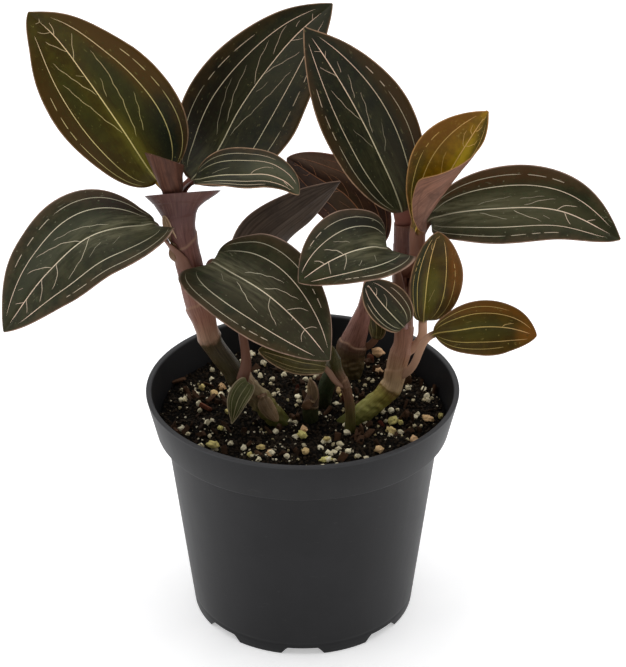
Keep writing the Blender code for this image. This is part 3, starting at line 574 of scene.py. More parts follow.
# seat: a stem, how far up it and on which side, or the place in its cup; stalk: half the petiole's width; wide, rise
# and fall: the half-width and how it grows and ends, for the halves u < 0 and u > 0; face: which way the base and the
# tip look; roll: how far the blade curls at its base, middle and tip; lobe: how far a half reaches back over the stalk;
# clasp: how far a sheath goes round the stem; via: points of the petiole; hook: how a half's base corner moves;
# branches: small veins, each its strength and its points along and across; tints: patches of colour, where they are
# along and across, their two reaches, colour and strength, both in hundredths; tube: a rolled leaf's half-width at its
# base and tip; slant and tilt: how its mouth is cut; wrap: how far the half u > 0 curls over, along the blade;
# extra: the leaf has no solid
usualLeaf = dict(clasp=0, lobe=(0, 0), foot=1, stalkThick=1.7, via=(), hook=((0, 0, 0), (0, 0, 0)), slant=0, tilt=0,
                 tints=(), laterals=(usualLaterals, usualLaterals))
leafPlans = {
    "leaf_left_top": dict(
        seat=("stem_left", "cup", (-3.5, 0.9)), stalk=1.3,
        spine=((-52, -3, 181), (-65, 4, 199), (-77, 7, 217), (-88, 8, 232.8), (-96, 7, 241.3)), wide=(19.5, 23.9),
        lobe=(2, 2), rise=(0.6, 0.48), fall=(0.72, 0.9), laterals=(wideLaterals, wideLaterals),
        face=((0.3, -0.9, 0.3), (0.1, -0.95, 0.2)), roll=(60, 20, 0), fold=8, look="oliveBig",
        branches=((70, 22, 12, 36, 22, 49, 30, 60, 37, 70, 41), (60, 23.5, 27, 33, 37, 42, 48),
            (45, 46, 8, 50, 12, 56, 20), (70, 69, 0, 74.5, 16, 77, 28, 80, 45), (80, 84, 0, 87, 18, 90, 32),
            (50, 93, 0, 94.5, 20), (70, 49, -2, 58, -16, 68, -34, 75, -45),
            (70, 27, -3, 39, -18, 49, -29, 61, -44, 64, -48), (65, 73.5, 0, 79, -16, 85, -34),
            (60, 86, 0, 88, -20, 91, -40), (35, 60, -3, 63, -15), (50, 93, 0, 94, -25)),
        tints=((62, 80, 42, 42, (80, 52, 4), 80), (15, 75, 26, 62, (20, 26, 12), 95),
            (45, 30, 35, 30, (38, 46, 10), 60), (45, -85, 50, 40, (66, 46, 8), 80),
            (50, -40, 30, 25, (48, 52, 10), 50), (10, 0, 40, 20, (108, 100, 26), 62))),
    "leaf_left_back": dict(
        seat=("stem_left", "cup", (2.2, 2.2)), stalk=1.5,
        spine=((-40, -2, 181), (-32, 9.5, 186), (-23, 19.5, 200), (-13, 25, 213), (-3, 29, 224), (11, 32, 236)),
        wide=(20, 25), lobe=(1, 1), rise=(0.55, 0.6), fall=(0.85, 0.85), face=((0, -0.8, 0.6), (-0.2, -0.7, 0.7)),
        roll=(60, 20, 0), fold=8, look="deep",
        branches=((55, 32, -8, 46, -25, 58, -38), (60, 52, -3, 62, -25, 71, -42), (55, 67, -10, 74, -28, 80, -46),
            (50, 82, -20, 83.5, -28, 85, -34), (60, 89, 0, 91, -30), (40, 25, -16, 37, -30, 50, -45),
            (60, 27, 5, 42, 20, 55, 31, 68, 42), (60, 58, 0, 66, 14, 76, 38), (60, 76.5, 0, 81, 22),
            (35, 50, 7, 57, 16)), tints=((30, -60, 45, 60, (26, 18, 6), 70), (80, 0, 50, 90, (56, 54, 36), 50))),
    "leaf_left_cap": dict(
        seat=("stem_left", "cup", (2.7, -1.3)), stalk=1,
        spine=((-38, -12, 185), (-30, -16, 189), (-20, -20, 191), (-11, -23, 192), (-5, -25, 190), (-1, -26, 186)),
        wide=(11, 6), rise=(0.45, 0.5), fall=(0.7, 0.7), face=((-0.1, -0.4, 0.9), (0.2, -0.7, 0.7)),
        roll=(60, 0, -50), fold=4, look="deep",
        tints=((85, -10, 50, 100, (84, 84, 62), 75), (5, 30, 35, 120, (14, 16, 6), 80))),
    "leaf_left_bud": dict(
        seat=("stem_left", "cup", (-0.5, -3.4)), stalk=1.3, tube=(8.4, 15.5), slant=0.8, tilt=-0.75,
        spine=((-45.2, -13.6, 179), (-46.6, -16.6, 187), (-48.1, -19.4, 197)), wide=(9, 9), rise=(0.3, 0.3),
        fall=(0.4, 0.4), face=((-0.15, 0.98, 0),), roll=(320, 300, 290), fold=0, look="bud"),
    "leaf_left_droop": dict(
        seat=("stem_left", 0.7, (-0.9, -0.7, 0)), stalk=2, clasp=130, via=((-51, -13, 165),),
        spine=((-53, -15, 169), (-58, -17, 170), (-74, -23, 169), (-90, -28, 157), (-107, -32, 135)), wide=(18, 19.5),
        lobe=(11, 1), hook=((-2, -2, 9), (1, 0, -3)), rise=(0.5, 0.62), fall=(0.85, 0.82),
        laterals=(wideLaterals, usualLaterals),
        branches=((60, 22, 10, 30, 19, 39, 28, 50, 39), (75, 38, 0, 43, 13, 49, 25, 62, 43),
            (75, 58, 0, 63, 20, 70, 38), (40, 76, 28, 79, 38), (70, 81, 0, 85, 25), (75, 33, 0, 44, -33, 56, -50),
            (75, 55, 0, 60, -30, 66, -43), (75, 65.7, 0, 70, -25, 75, -48), (70, 79, 0, 84, -45),
            (35, 30, -22, 40, -42), (30, 20, -25, 26, -38)), face=((0, -0.5, 0.9), (-0.5, -0.8, 0.5)),
        roll=(40, 0, -20), fold=4, look="dark",
        tints=((8, 80, 30, 55, (38, 24, 14), 90), (55, 30, 40, 40, (64, 66, 50), 60))),
    "leaf_centre_droop": dict(
        seat=("stem_left", 0.62, (0.8, -0.7, 0)), stalk=2, clasp=140,
        spine=((-32, -17, 155), (-25, -21, 153), (-12, -27, 147), (1, -32, 136), (10, -35, 125)), wide=(20, 18),
        lobe=(1, 12), rise=(0.45, 0.5), fall=(0.9, 0.8), laterals=(usualLaterals, wideLaterals),
        branches=((70, 21, -12, 33, -27, 46, -38), (75, 37, -5, 45, -20, 59, -36), (75, 57, 0, 61, -20, 68, -40),
            (75, 74, 0, 76, -20, 79, -37), (70, 20, 10, 32, 30, 45, 44), (75, 43.6, 0, 47.5, 19, 60, 43),
            (80, 74.2, 0, 76, 25, 79, 37), (35, 10, 17, 16, 30), (50, 63, 0, 64, 10)),
        face=((0, -0.6, 0.8), (0.4, -0.9, 0.4)), roll=(20, 0, -30), fold=4, look="dark",
        tints=((60, 10, 70, 90, (66, 58, 44), 50),)),
    "leaf_centre_under": dict(
        seat=("stem_left", 0.23, (0.5, -0.9, 0)), stalk=1.9, via=((-21.5, -10.5, 108), (-22.5, -5, 118)), foot=1.3,
        stalkThick=2, spine=((-24, 2, 128), (-22, 7, 138), (-15, 12, 151), (-1, 17, 161), (14, 20, 171)),
        wide=(12, 10), rise=(0.8, 0.8), fall=(0.9, 0.9), face=((0.3, 0.8, 0.3), (0.2, 0.8, 0.5)), roll=(60, 30, 20),
        fold=6, look="dark"),
    "leaf_back_brown": dict(
        seat=("stem_back", 0.9, (0.1, 1, 0)), stalk=1.4,
        spine=((27, 36, 137), (25, 39, 144), (16, 42, 156), (6, 43, 162), (-6, 42, 171)), wide=(14, 13), lobe=(2, 2),
        rise=(0.55, 0.55), fall=(0.7, 0.7), face=((0, -0.8, 0.6), (0, -0.7, 0.7)), roll=(60, 20, 0), fold=6,
        look="brown", tints=((80, 75, 55, 70, (98, 76, 60), 75), (40, -20, 30, 50, (58, 42, 14), 50))),
    "leaf_right_top": dict(
        seat=("stem_right", "cup", (0, 0)), stalk=3, stalkThick=4.2,
        spine=((36.2, 1, 167.5), (27, 5, 190), (16, 8, 211), (9, 8, 223), (1, 6, 236)), foot=1.05, wide=(15.5, 18.5),
        lobe=(1, 1), rise=(0.65, 0.7), fall=(0.9, 0.95), face=((0.1, -0.9, 0.3), (0, -0.95, 0.2)), roll=(60, 20, 0),
        fold=8, look="deep",
        branches=((40, 29, 14, 35, 24, 43, 33), (60, 39, 5, 50, 17, 60, 27), (55, 58, 8, 64, 18, 70, 27),
            (50, 72, 13, 78, 27), (50, 82, 0, 85, 17), (60, 47, -2, 57, -20, 68, -37), (60, 71, 0, 76, -20, 80, -40),
            (55, 85.5, 0, 88, -35), (40, 33, -6, 40, -18, 46, -30)),
        tints=((40, 95, 70, 45, (60, 40, 8), 85), (15, 30, 30, 40, (40, 30, 8), 60),
            (55, -95, 50, 30, (52, 36, 14), 60))),
    "leaf_right_new": dict(
        seat=("stem_right", 0.82, (0.7, -0.7, 0)), stalk=2.8, foot=1.3, stalkThick=5.4,
        spine=((42.3, -5.5, 164), (46, -6.2, 173), (51, -7.5, 183), (57, -10, 196), (65, -13, 212)),
        wide=(15.5, 17.5), rise=(0.95, 0.8), fall=(0.9, 0.95),
        wrap=((0, 110), (0.08, 165), (0.2, 190), (0.31, 190), (0.41, 167), (0.51, 143), (0.62, 117), (0.74, 86),
            (0.86, 56), (1, 30)), face=((-0.35, -0.9, 0.2), (-0.45, -0.85, 0.3)), roll=(90, 70, 40), fold=0,
        look="golden",
        tints=((0, -50, 24, 140, (74, 56, 34), 95), (58, 20, 30, 40, (190, 162, 20), 75),
            (30, -95, 45, 50, (54, 56, 8), 90), (80, -80, 40, 60, (116, 72, 4), 85),
            (85, 60, 50, 60, (52, 48, 18), 85))),
    "leaf_right_side": dict(
        seat=("stem_right", 0.68, (1, 0.1, 0)), stalk=1.6, clasp=130, via=((43, 2, 155),),
        spine=((47, 3, 163), (51, 0, 166), (70, -7, 172), (92, -13, 174), (114, -18, 165)), wide=(15.5, 13.5),
        lobe=(1, 2), rise=(0.75, 0.6), fall=(0.85, 0.8), face=((0, -0.8, 0.6), (0.1, -0.8, 0.6)), roll=(50, 10, 0),
        fold=5, look="dark",
        branches=((35, 27, -13, 36, -22, 45, -27), (35, 48, -20, 60, -30), (50, 50, -5, 57, -16, 65, -28),
            (80, 66, 0, 69, -15, 75, -30), (75, 81.5, 0, 85, -25), (55, 28, 10, 36, 22, 43, 33),
            (65, 45, 6, 52, 25, 60, 40), (35, 60, 20, 64, 33), (80, 70, 0, 72, 18, 75, 38)),
        tints=((35, -90, 50, 45, (78, 50, 24), 75), (45, 10, 60, 75, (74, 71, 47), 80))),
    "leaf_centre_top": dict(
        seat=("stem_right", 0.58, (-0.6, -0.8, 0)), stalk=1.6, clasp=140,
        spine=((30, -16, 160), (27, -18, 162), (21, -22, 163), (8, -30, 161), (-1.2, -34, 155.8)), wide=(12, 16.8),
        lobe=(14, 0), hook=((2, -1, 8), (1, 0, 1)), rise=(0.5, 0.42), fall=(0.8, 0.85),
        laterals=(wideLaterals, usualLaterals),
        branches=((85, 49, 0, 54, 17, 64, 37), (75, 70, 0, 73, 16, 77, 32), (40, 37, 20, 45, 31, 52, 40),
            (80, 47, 0, 52, -28, 58, -50), (75, 66, 0, 69, -26, 71, -50), (40, 22, -30, 25, -50),
            (40, 36, -35, 42, -50)), face=((0, -0.6, 0.8), (-0.2, -0.8, 0.6)), roll=(10, -20, -40), fold=4,
        look="dark", tints=((15, 75, 35, 50, (24, 21, 10), 85), (0, -70, 22, 70, (42, 42, 38), 70))),
    "leaf_low_upright": dict(
        seat=("stem_right", 0.4, (1, 0.1, 0.1)), stalk=1.6, foot=1.3,
        spine=((45, -5, 126), (46, -9, 146), (47, -12, 156), (49, -14, 166)), wide=(6.5, 13), lobe=(1, 1),
        rise=(0.5, 0.5), fall=(0.6, 0.6), face=((0.1, -0.95, 0.2),), roll=(40, 10, 0), fold=6, look="olive",
        stalkThick=2.5,
        tints=((50, -80, 70, 60, (26, 34, 6), 95), (30, 10, 40, 40, (86, 80, 4), 80),
            (65, 95, 60, 50, (112, 64, 4), 90))),
    "leaf_low_right": dict(
        seat=("stem_right", 0.29, (0.8, -0.8, 0)), stalk=1.3, stalkThick=2.2, foot=1.15,
        spine=((49, -13, 124), (57, -16, 127), (66, -17, 129), (76, -18, 129), (86, -19, 126.4)),
        tints=((60, -90, 60, 50, (108, 66, 10), 85), (97, 0, 22, 130, (118, 72, 16), 85),
            (45, 10, 40, 50, (60, 60, 10), 60)), wide=(9.8, 10.8), lobe=(1, 1), rise=(0.72, 0.8), fall=(0.75, 0.75),
        face=((0, -0.85, 0.5),), roll=(50, 10, 0), fold=6, look="olive"),
    "leaf_low_dark": dict(
        seat=("stem_right", 0.52, (0.1, -1, 0)), stalk=1.2, spine=((37, -14, 128), (30, -16, 137), (23, -18, 148)),
        wide=(6.5, 9.5), lobe=(1, 1), rise=(0.5, 0.5), fall=(0.6, 0.6), face=((0, -0.9, 0.4),), roll=(40, 20, 0),
        fold=6, look="deep", tints=((50, 0, 90, 160, (34, 30, 10), 60), (40, 85, 60, 60, (56, 36, 10), 85))),
    "leaf_front_small": dict(
        seat=("shoot_front", 0.6, (-0.6, -0.8, 0)), stalk=1.1, spine=((8, -17, 112), (-1, -20, 116), (-16, -22, 122)),
        wide=(5.5, 7), lobe=(1, 1), rise=(0.5, 0.5), fall=(0.65, 0.65), face=((0, -0.6, 0.8),), roll=(40, 10, 0),
        fold=5, look="young"),
    "leaf_low_scale": dict(
        seat=("stem_left", 0.15, (-0.3, -1, 0)), stalk=1,
        spine=((-20.5, -14, 103), (-23.5, -18, 100), (-26.5, -21, 90)), wide=(3.9, 4.6), lobe=(1, 1), rise=(0.4, 0.4),
        fall=(1, 1.1), face=((0, -0.9, 0.4),), roll=(60, 50, 30), fold=4, look="scale"),
    "sheath_left": dict(
        seat=("stem_left", 0.76, (-1, -0.7, 0)), stalk=1.3, extra=True,
        spine=((-46.2, -11.8, 160.5), (-47.8, -12.6, 166), (-49.4, -13, 172)), wide=(1.9, 2.2), rise=(0.4, 0.4),
        fall=(0.5, 0.5), face=((-0.5, -0.85, 0),), roll=(60, 60, 40), fold=0, look="dry"),
    "sheath_back": dict(
        seat=("stem_back", 0.3, (1, 0.1, 0)), stalk=1.6, extra=True,
        spine=((28.5, 32, 98), (28.6, 33, 106), (27.2, 34, 116)), wide=(4.4, 4.2), rise=(0.4, 0.4), fall=(0.6, 0.6),
        face=((0.3, -0.9, 0),), roll=(120, 120, 60), fold=0, look="young"),
    "sheath_middle": dict(
        seat=("stub_papery", 0.45, (-0.5, -0.8, 0)), stalk=1.5, extra=True,
        spine=((3.2, -7.4, 92), (3.4, -7, 96), (2.6, -6, 101)), wide=(2.4, 2.2), rise=(0.4, 0.4), fall=(0.9, 0.6),
        face=((-0.3, -0.9, 0),), roll=(-140, -120, -80), fold=0, look="dry"),
    "sheath_foot": dict(
        seat=("stem_left", 0.13, (0.75, -0.6, 0)), stalk=1.8, extra=True,
        spine=((-15, -9.6, 95), (-12.5, -11, 90.5), (-9.5, -11.6, 85.5)), wide=(3.2, 3.6), rise=(0.4, 0.4),
        fall=(0.5, 0.7), face=((0.3, -0.9, 0.4),), roll=(-130, -130, -110), fold=0, look="dry"),
}

# colours of each kind of leaf, as seen in daylight. 'dark' and 'deep' are lit and shaded copies of one leaf colour:
# 'dark' is lightened and greyed with painted sheen for leaves that face up, 'deep' is darker for leaves that face the
# camera. In every look the grey sheen tone is a painted sheen near the midrib, and the margin line is partly the
# margin's own tone, partly a painted rim highlight.
lookParts = (
    "ground", "mid", "cell", "paintedSheen", "paintedSheenAmount", "margin", "marginAmount", "dash", "line", "stalk", "veinBase",
    "veinTip", "under", "underLine", "slot"
)
leafLooks = {name: dict(zip(lookParts, values)) for name, *values in (
    # lit copy: the leaf colour lightened and greyed with painted sheen, for leaves that face up
    ("dark", (41, 40, 21), (57, 55, 32), (44, 64, 34), (134, 130, 100), 0.62, (76, 58, 38), 0.65, (132, 130, 104),
     (172, 140, 120), (112, 76, 60), (238, 228, 196), (255, 224, 198), (74, 62, 52), (50, 40, 32), "leaf_dark"),
    # shaded copy: the same leaf colour kept darker, for leaves that face the camera
    ("deep", (24, 23, 6), (38, 36, 13), (32, 48, 20), (94, 92, 56), 0.35, (60, 41, 12), 0.6, (116, 108, 70),
     (168, 134, 104), (112, 68, 56), (216, 206, 168), (250, 214, 186), (74, 60, 50), (50, 38, 32), "leaf_dark"),
    ("oliveBig", (60, 47, 4), (72, 62, 8), (54, 62, 18), (108, 104, 36), 0.3, (74, 48, 10), 0.55, (140, 134, 66),
     (160, 126, 96), (150, 112, 40), (246, 230, 150), (255, 224, 174), (98, 68, 48), (72, 46, 32), "leaf_olive"),
    ("olive", (60, 44, 3), (76, 58, 6), (60, 62, 16), (100, 92, 36), 0.35, (84, 56, 12), 0.6, (146, 130, 66),
     (150, 112, 80), (182, 142, 116), (212, 186, 100), (220, 178, 112), (104, 78, 54), (76, 50, 34), "leaf_olive"),
    ("young", (56, 48, 18), (72, 64, 26), (78, 78, 40), (104, 98, 62), 0.25, (84, 64, 36), 0.5, (140, 128, 80),
     (160, 130, 100), (124, 92, 72), (150, 134, 80), (150, 124, 80), (100, 78, 56), (76, 54, 38), "leaf_olive"),
    ("scale", (70, 70, 38), (86, 88, 48), (84, 92, 54), (120, 120, 84), 0.3, (120, 112, 80), 0.6, (150, 144, 104),
     (176, 158, 128), (112, 98, 66), (160, 152, 112), (168, 152, 116), (100, 84, 60), (80, 62, 44), "leaf_olive"),
    ("dry", (118, 96, 70), (150, 124, 94), (96, 84, 48), (168, 146, 118), 0.4, (132, 104, 76), 0.5, (180, 156, 126),
     (196, 166, 134), (112, 84, 60), (150, 124, 94), (164, 138, 108), (120, 98, 74), (96, 76, 56), "dry_sheath"),
    ("brown", (36, 20, 12), (54, 32, 16), (60, 38, 20), (88, 66, 44), 0.2, (64, 34, 24), 0.6, (110, 76, 40),
     (130, 84, 62), (124, 74, 58), (128, 80, 42), (134, 86, 54), (96, 66, 56), (62, 40, 32), "leaf_brown"),
    ("golden", (118, 86, 2), (156, 116, 4), (128, 108, 12), (166, 142, 36), 0.3, (118, 72, 20), 0.5, (190, 164, 80),
     (190, 142, 84), (124, 84, 66), (226, 200, 110), (230, 184, 112), (112, 80, 66), (106, 76, 62), "leaf_olive"),
    ("bud", (70, 46, 30), (86, 58, 38), (84, 60, 38), (110, 86, 62), 0.2, (104, 62, 42), 0.5, (150, 110, 84),
     (176, 136, 84), (112, 78, 56), (120, 84, 64), (120, 80, 58), (76, 48, 37), (66, 40, 32), "leaf_underside"),
)}


leafSkin = dict(
    stalkRows=18, bladeRows=66, columns=34, columnBias=1.25, rowBunch=0.11, footRoll=50, stalkRoll=80,
    thick=0.52, edgeThick=0.26, groove=0.32, grooveWidth=0.8, keel=0.72, keelWidth=1.5, quilt=0.13, quiltWidth=0.9,
    underRelief=0.7, wave=0.28, wavePitch=30.0, broadWave=0.25, wavyWidth=18, lobeGain=3.0, lobeRun=0.12, hookRun=0.16,
    sheathBelow=8.0, sheathAbove=7.0, sheathSunk=0.5, sheathProud=0.7, seatBelow=3.0, seatGap=0.4, cupGap=0.6,
)


def seatStart(plan):
    # the first two points of a leaf, the way to its stem and its sheath's two radii, in millimetres
    name, fraction, side = plan["seat"]
    stem = stemPlans[name]
    if fraction == "cup":
        places, ways = pathThrough(stem["points"], [1.0])
        way, depth, offset = ways[0], stem["cup"][0], np.array([*side, 0.0])
        foot = places[0] - way * depth + offset - way * offset.dot(way) + way * leafSkin["cupGap"]
        return [foot, foot + way * depth], None, (0.0, 0.0)
    side = np.array(side, float)
    side /= np.linalg.norm(side)
    total = pathLength(stem["points"])
    if plan["clasp"]:  # a sheath that comes out of the stem's skin
        low, high = fraction - leafSkin["sheathBelow"] / total, fraction + leafSkin["sheathAbove"] / total
        places, _ = pathThrough(stem["points"], [low, high])
        outs = (stemRadius(stem, low) - leafSkin["sheathSunk"], stemRadius(stem, high) + leafSkin["sheathProud"])
    else:
        places, ways = pathThrough(stem["points"], [fraction - leafSkin["seatBelow"] / total, fraction + 0.02])
        thickest = max(stemRadius(stem, f) for f in np.linspace(fraction - 0.02, fraction + 0.04, 8))
        face = np.array(plan["face"][0], float)
        face -= ways[0] * face.dot(ways[0])
        face /= np.linalg.norm(face)
        lean = abs(face.dot(side))
        bow = 0.25 * plan["stalk"] * max(-face.dot(side), 0.0)
        depth = max(0.8 * lean, plan["stalk"] * abs(np.cross(ways[0], face).dot(side)) + 0.4 * lean + bow)
        outs = (0.2 * thickest, thickest + leafSkin["seatGap"] + depth)
    return [p + side * out for p, out in zip(places, outs)], -side, outs


def marginShare(plan, side, t):
    # share of the full half-width at a fraction of the blade
    if "tube" in plan:
        low, high = plan["tube"]
        return (low + (high - low) * t) / plan["wide"][side]
    if t <= 0:
        return 0.0
    rise, fall = plan["rise"][side], plan["fall"][side]
    peak = rise / (rise + fall)
    return (t / peak) ** rise * max((1 - t) / (1 - peak), 0.0) ** fall


def halfPoint(wide, u, roll, turn):
    # how far across and up a point of a half lies: turned as one arc, or by "turn" with most of it at the midrib
    if turn is not None:
        s = (np.arange(20) + 0.5) * u / 20
        angle = turn * (2 * s - s * s)
        return wide * u * float(np.cos(angle).mean()), wide * u * float(np.sin(angle).mean())
    if abs(roll) > 1e-3:
        return 2 * wide / roll * math.sin(roll / 2 * abs(u)), 2 * wide / roll * (1 - math.cos(roll / 2 * abs(u)))
    return wide * abs(u), 0.0


def leafGrid(plan):
    # the middle surface of a leaf as rows along its spine, in millimetres
    start, inward, outs = seatStart(plan)
    spine = np.array(plan["spine"], float)
    whole = np.vstack([start, np.array(plan["via"], float).reshape(-1, 3), spine])
    total, blade = pathLength(whole), pathLength(spine)
    stalkEnd, sheathEnd = 1 - blade / total, pathLength(start) / total
    clasp, half = math.radians(plan["clasp"]), plan["stalk"]
    # each mark: where it is, how far along the blade, its half-width, how far it rolls and how thick a stalk it is
    marks = [(0.0, -1.0, half * plan["foot"], math.radians(leafSkin["footRoll"]), 1.0)]
    if clasp:
        marks = [(share * sheathEnd, -1.0, (outs[0] + (outs[1] - outs[0]) * share) * clasp * arc / 2, clasp * arc, 0.0)
                 for share, arc in ((0.0, 1.1), (0.5, 1.1), (1.0, 0.85))]
    marks.append(((sheathEnd + stalkEnd) / 2, -0.5, half * 1.1, math.radians(leafSkin["stalkRoll"]), 0.7))
    marks.append((stalkEnd, 0.0, half, math.radians(plan["roll"][0]), 1.0))
    marks = np.array(marks)
    rows = [[f] + [float(np.interp(f, marks[:, 0], marks[:, k])) for k in range(1, 5)]
            for f in np.linspace(0, stalkEnd, leafSkin["stalkRows"])[:-1]]
    for s in np.linspace(0, 1, leafSkin["bladeRows"]):
        t = s - leafSkin["rowBunch"] * math.sin(2 * math.pi * s)
        roll = math.radians(float(np.interp(t, (0, 0.5, 1), plan["roll"])))
        rows.append([stalkEnd + t * (1 - stalkEnd), t, half * (1 - 0.8 * t), roll, math.exp(-(t / 0.06) ** 2)])
    places, ways = pathThrough(whole, [row[0] for row in rows])
    lobeAt = stalkEnd + (0.015 if clasp else 0.11) * (1 - stalkEnd)
    backWay = pathThrough(whole, [lobeAt])[1][0]
    faceBase, faceTip = np.array(plan["face"][0], float), np.array(plan["face"][-1], float)
    startFace = inward if clasp else faceBase
    s = np.linspace(-1, 1, leafSkin["columns"] + 1)
    shares = np.sign(s) * np.abs(s) ** leafSkin["columnBias"]
    mid, reach = [], []
    for place, way, (_, t, rowHalf, roll, _) in zip(places, ways, rows):
        ahead = max(t, 0.0)
        face = faceBase * (1 - t) + faceTip * t if t >= 0 else startFace * -t + faceBase * (1 + t)
        face = face - way * face.dot(way)
        face /= np.linalg.norm(face)
        right = np.cross(way, face)
        fold = math.radians(plan["fold"]) * min(1.0, ahead * 5)
        turn = math.radians(float(np.interp(t, *zip(*plan["wrap"])))) if "wrap" in plan and t >= 0 else None
        line, widths = [], []
        for u in shares:
            side = 1 if u > 0 else 0
            form = marginShare(plan, side, t) if t >= 0 else 0.0
            wide = math.hypot(rowHalf, plan["wide"][side] * form)
            x, h = halfPoint(wide, u, roll, turn if side else None)
            x, h = x * math.cos(fold) - h * math.sin(fold), x * math.sin(fold) + h * math.cos(fold)
            outer = abs(u) ** 1.5
            back = plan["lobe"][side] * outer * form * math.exp(-ahead / leafSkin["lobeRun"]) * leafSkin["lobeGain"]
            corner = outer * min(form * 2, 1) * math.exp(-(ahead / leafSkin["hookRun"]) ** 2)
            across = -x if u < 0 else x
            drop = (plan["slant"] * h + plan["tilt"] * across) * ahead
            line.append(place + right * across + face * h - backWay * back - way * drop
                        + np.array(plan["hook"][side]) * corner)
            widths.append(wide)
        mid.append(line)
        reach.append(widths)
    mid, reach = np.array(mid), np.array(reach)
    normal = np.cross(np.gradient(mid, axis=1), np.gradient(mid, axis=0))
    normal /= np.linalg.norm(normal, axis=2, keepdims=True)
    t, stalk = (np.array([row[k] for row in rows]) for k in (1, 4))
    return dict(mid=mid, normal=normal, reach=reach, t=t, u=shares, blade=blade, stalk=stalk)


def leafSurfaces(plan, grid, seed):
    # upper and lower surface points with the groove, keel, quilting and waves
    t, u, reach = grid["t"][:, None], grid["u"][None, :], grid["reach"]
    x = np.abs(u) * reach
    onBlade, flat = smooth(t, 0.0, 0.06), "tube" not in plan
    thick = leafSkin["edgeThick"] + (leafSkin["thick"] - leafSkin["edgeThick"]) * (1 - u ** 2)
    thick = np.maximum(thick, np.sqrt(1 - u ** 2) * plan["stalkThick"] * grid["stalk"][:, None])
    relief = -leafSkin["groove"] * np.exp(-(x / leafSkin["grooveWidth"]) ** 2) * onBlade * (1 - 0.6 * t)
    for side, veins in zip((-1, 1), plan["laterals"]):
        here = (np.sign(u) == side) * onBlade
        for share, first, last, weight in veins:
            if share * reach.max() >= 3:
                stretch = smooth(t, first, first + 0.08) * (1 - smooth(t, last - 0.08, last))
                away = (np.abs(u) - share) * reach / leafSkin["quiltWidth"]
                relief -= leafSkin["quilt"] * weight * np.exp(-away ** 2) * stretch * here
    swell = np.sin(math.pi * np.clip(t, 0, 1)) * min(reach.max() / leafSkin["wavyWidth"], 1.0) * flat
    phase = np.where(u > 0, seed * 1.7, seed * 2.9)
    waves = np.sin(2 * math.pi * t * grid["blade"] / leafSkin["wavePitch"] + phase)
    broad = leafSkin["broadWave"] * np.sin(7 * t + 3 * np.abs(u) + seed)
    lift = swell * (np.abs(u) ** 2 * leafSkin["wave"] * waves + broad)
    keel = leafSkin["keel"] * (1 - t) * np.exp(-(x / leafSkin["keelWidth"]) ** 2) * onBlade * flat
    upper = grid["mid"] + grid["normal"] * (thick / 2 + relief + lift)[..., None]
    lower = grid["mid"] - grid["normal"] * (thick / 2 + keel - relief * leafSkin["underRelief"] - lift)[..., None]
    return upper, lower


def surfacePoint(surface, grid, t, u):
    # a point of a surface at a fraction of the blade and a share of the half-width
    row, column = (float(np.interp(value, marks, np.arange(len(marks))))
                   for value, marks in ((t, grid["t"]), (u, grid["u"])))
    r, c = min(int(row), len(grid["t"]) - 2), min(int(column), len(grid["u"]) - 2)
    a, b = row - r, column - c
    return ((surface[r, c] * (1 - a) + surface[r + 1, c] * a) * (1 - b)
            + (surface[r, c + 1] * (1 - a) + surface[r + 1, c + 1] * a) * b)


veinPlan = dict(
    midribRadius=(0.36, 0.2), lateralRadius=0.19, branchRadius=0.14, tremor=0.007, sink=0.45, sides=6, branchShare=0.7,
    # where a branch starts on the midrib, how far it runs along and across, the share left out at its start,
    # and its strength
    branches=((0.10, 0.24, 0.27, 0.35, 0.45), (0.20, 0.34, 0.31, 0.12, 0.6), (0.36, 0.25, 0.34, 0.0, 0.75),
              (0.52, 0.19, 0.33, 0.0, 0.8), (0.67, 0.11, 0.28, 0.0, 0.85), (0.79, 0.07, 0.25, 0.0, 0.8),
              (0.88, 0.04, 0.2, 0.0, 0.7)),
)


def longVein(share, begin, end, weight, side, widest, draw):
    # a long vein's points in one piece, or as dashes towards the tip
    wobble = draw.uniform(0, 6)
    points = [(t, side * (share * (1 - 0.10 * t) + 0.006 * math.sin(9 * t + wobble)))
              for t in np.linspace(begin, end, 110)]
    if weight >= 0.8 or widest <= 12:
        return [points]
    whole = draw.randint(62, 84)
    pieces, place = [points[:whole]], whole + 1
    while place < len(points) - 4:
        run = draw.randint(7, 18)
        pieces.append(points[place:place + run])
        place += run + draw.choice((1, 2, 3, 5))
    return [piece for piece in pieces if len(piece) > 2]


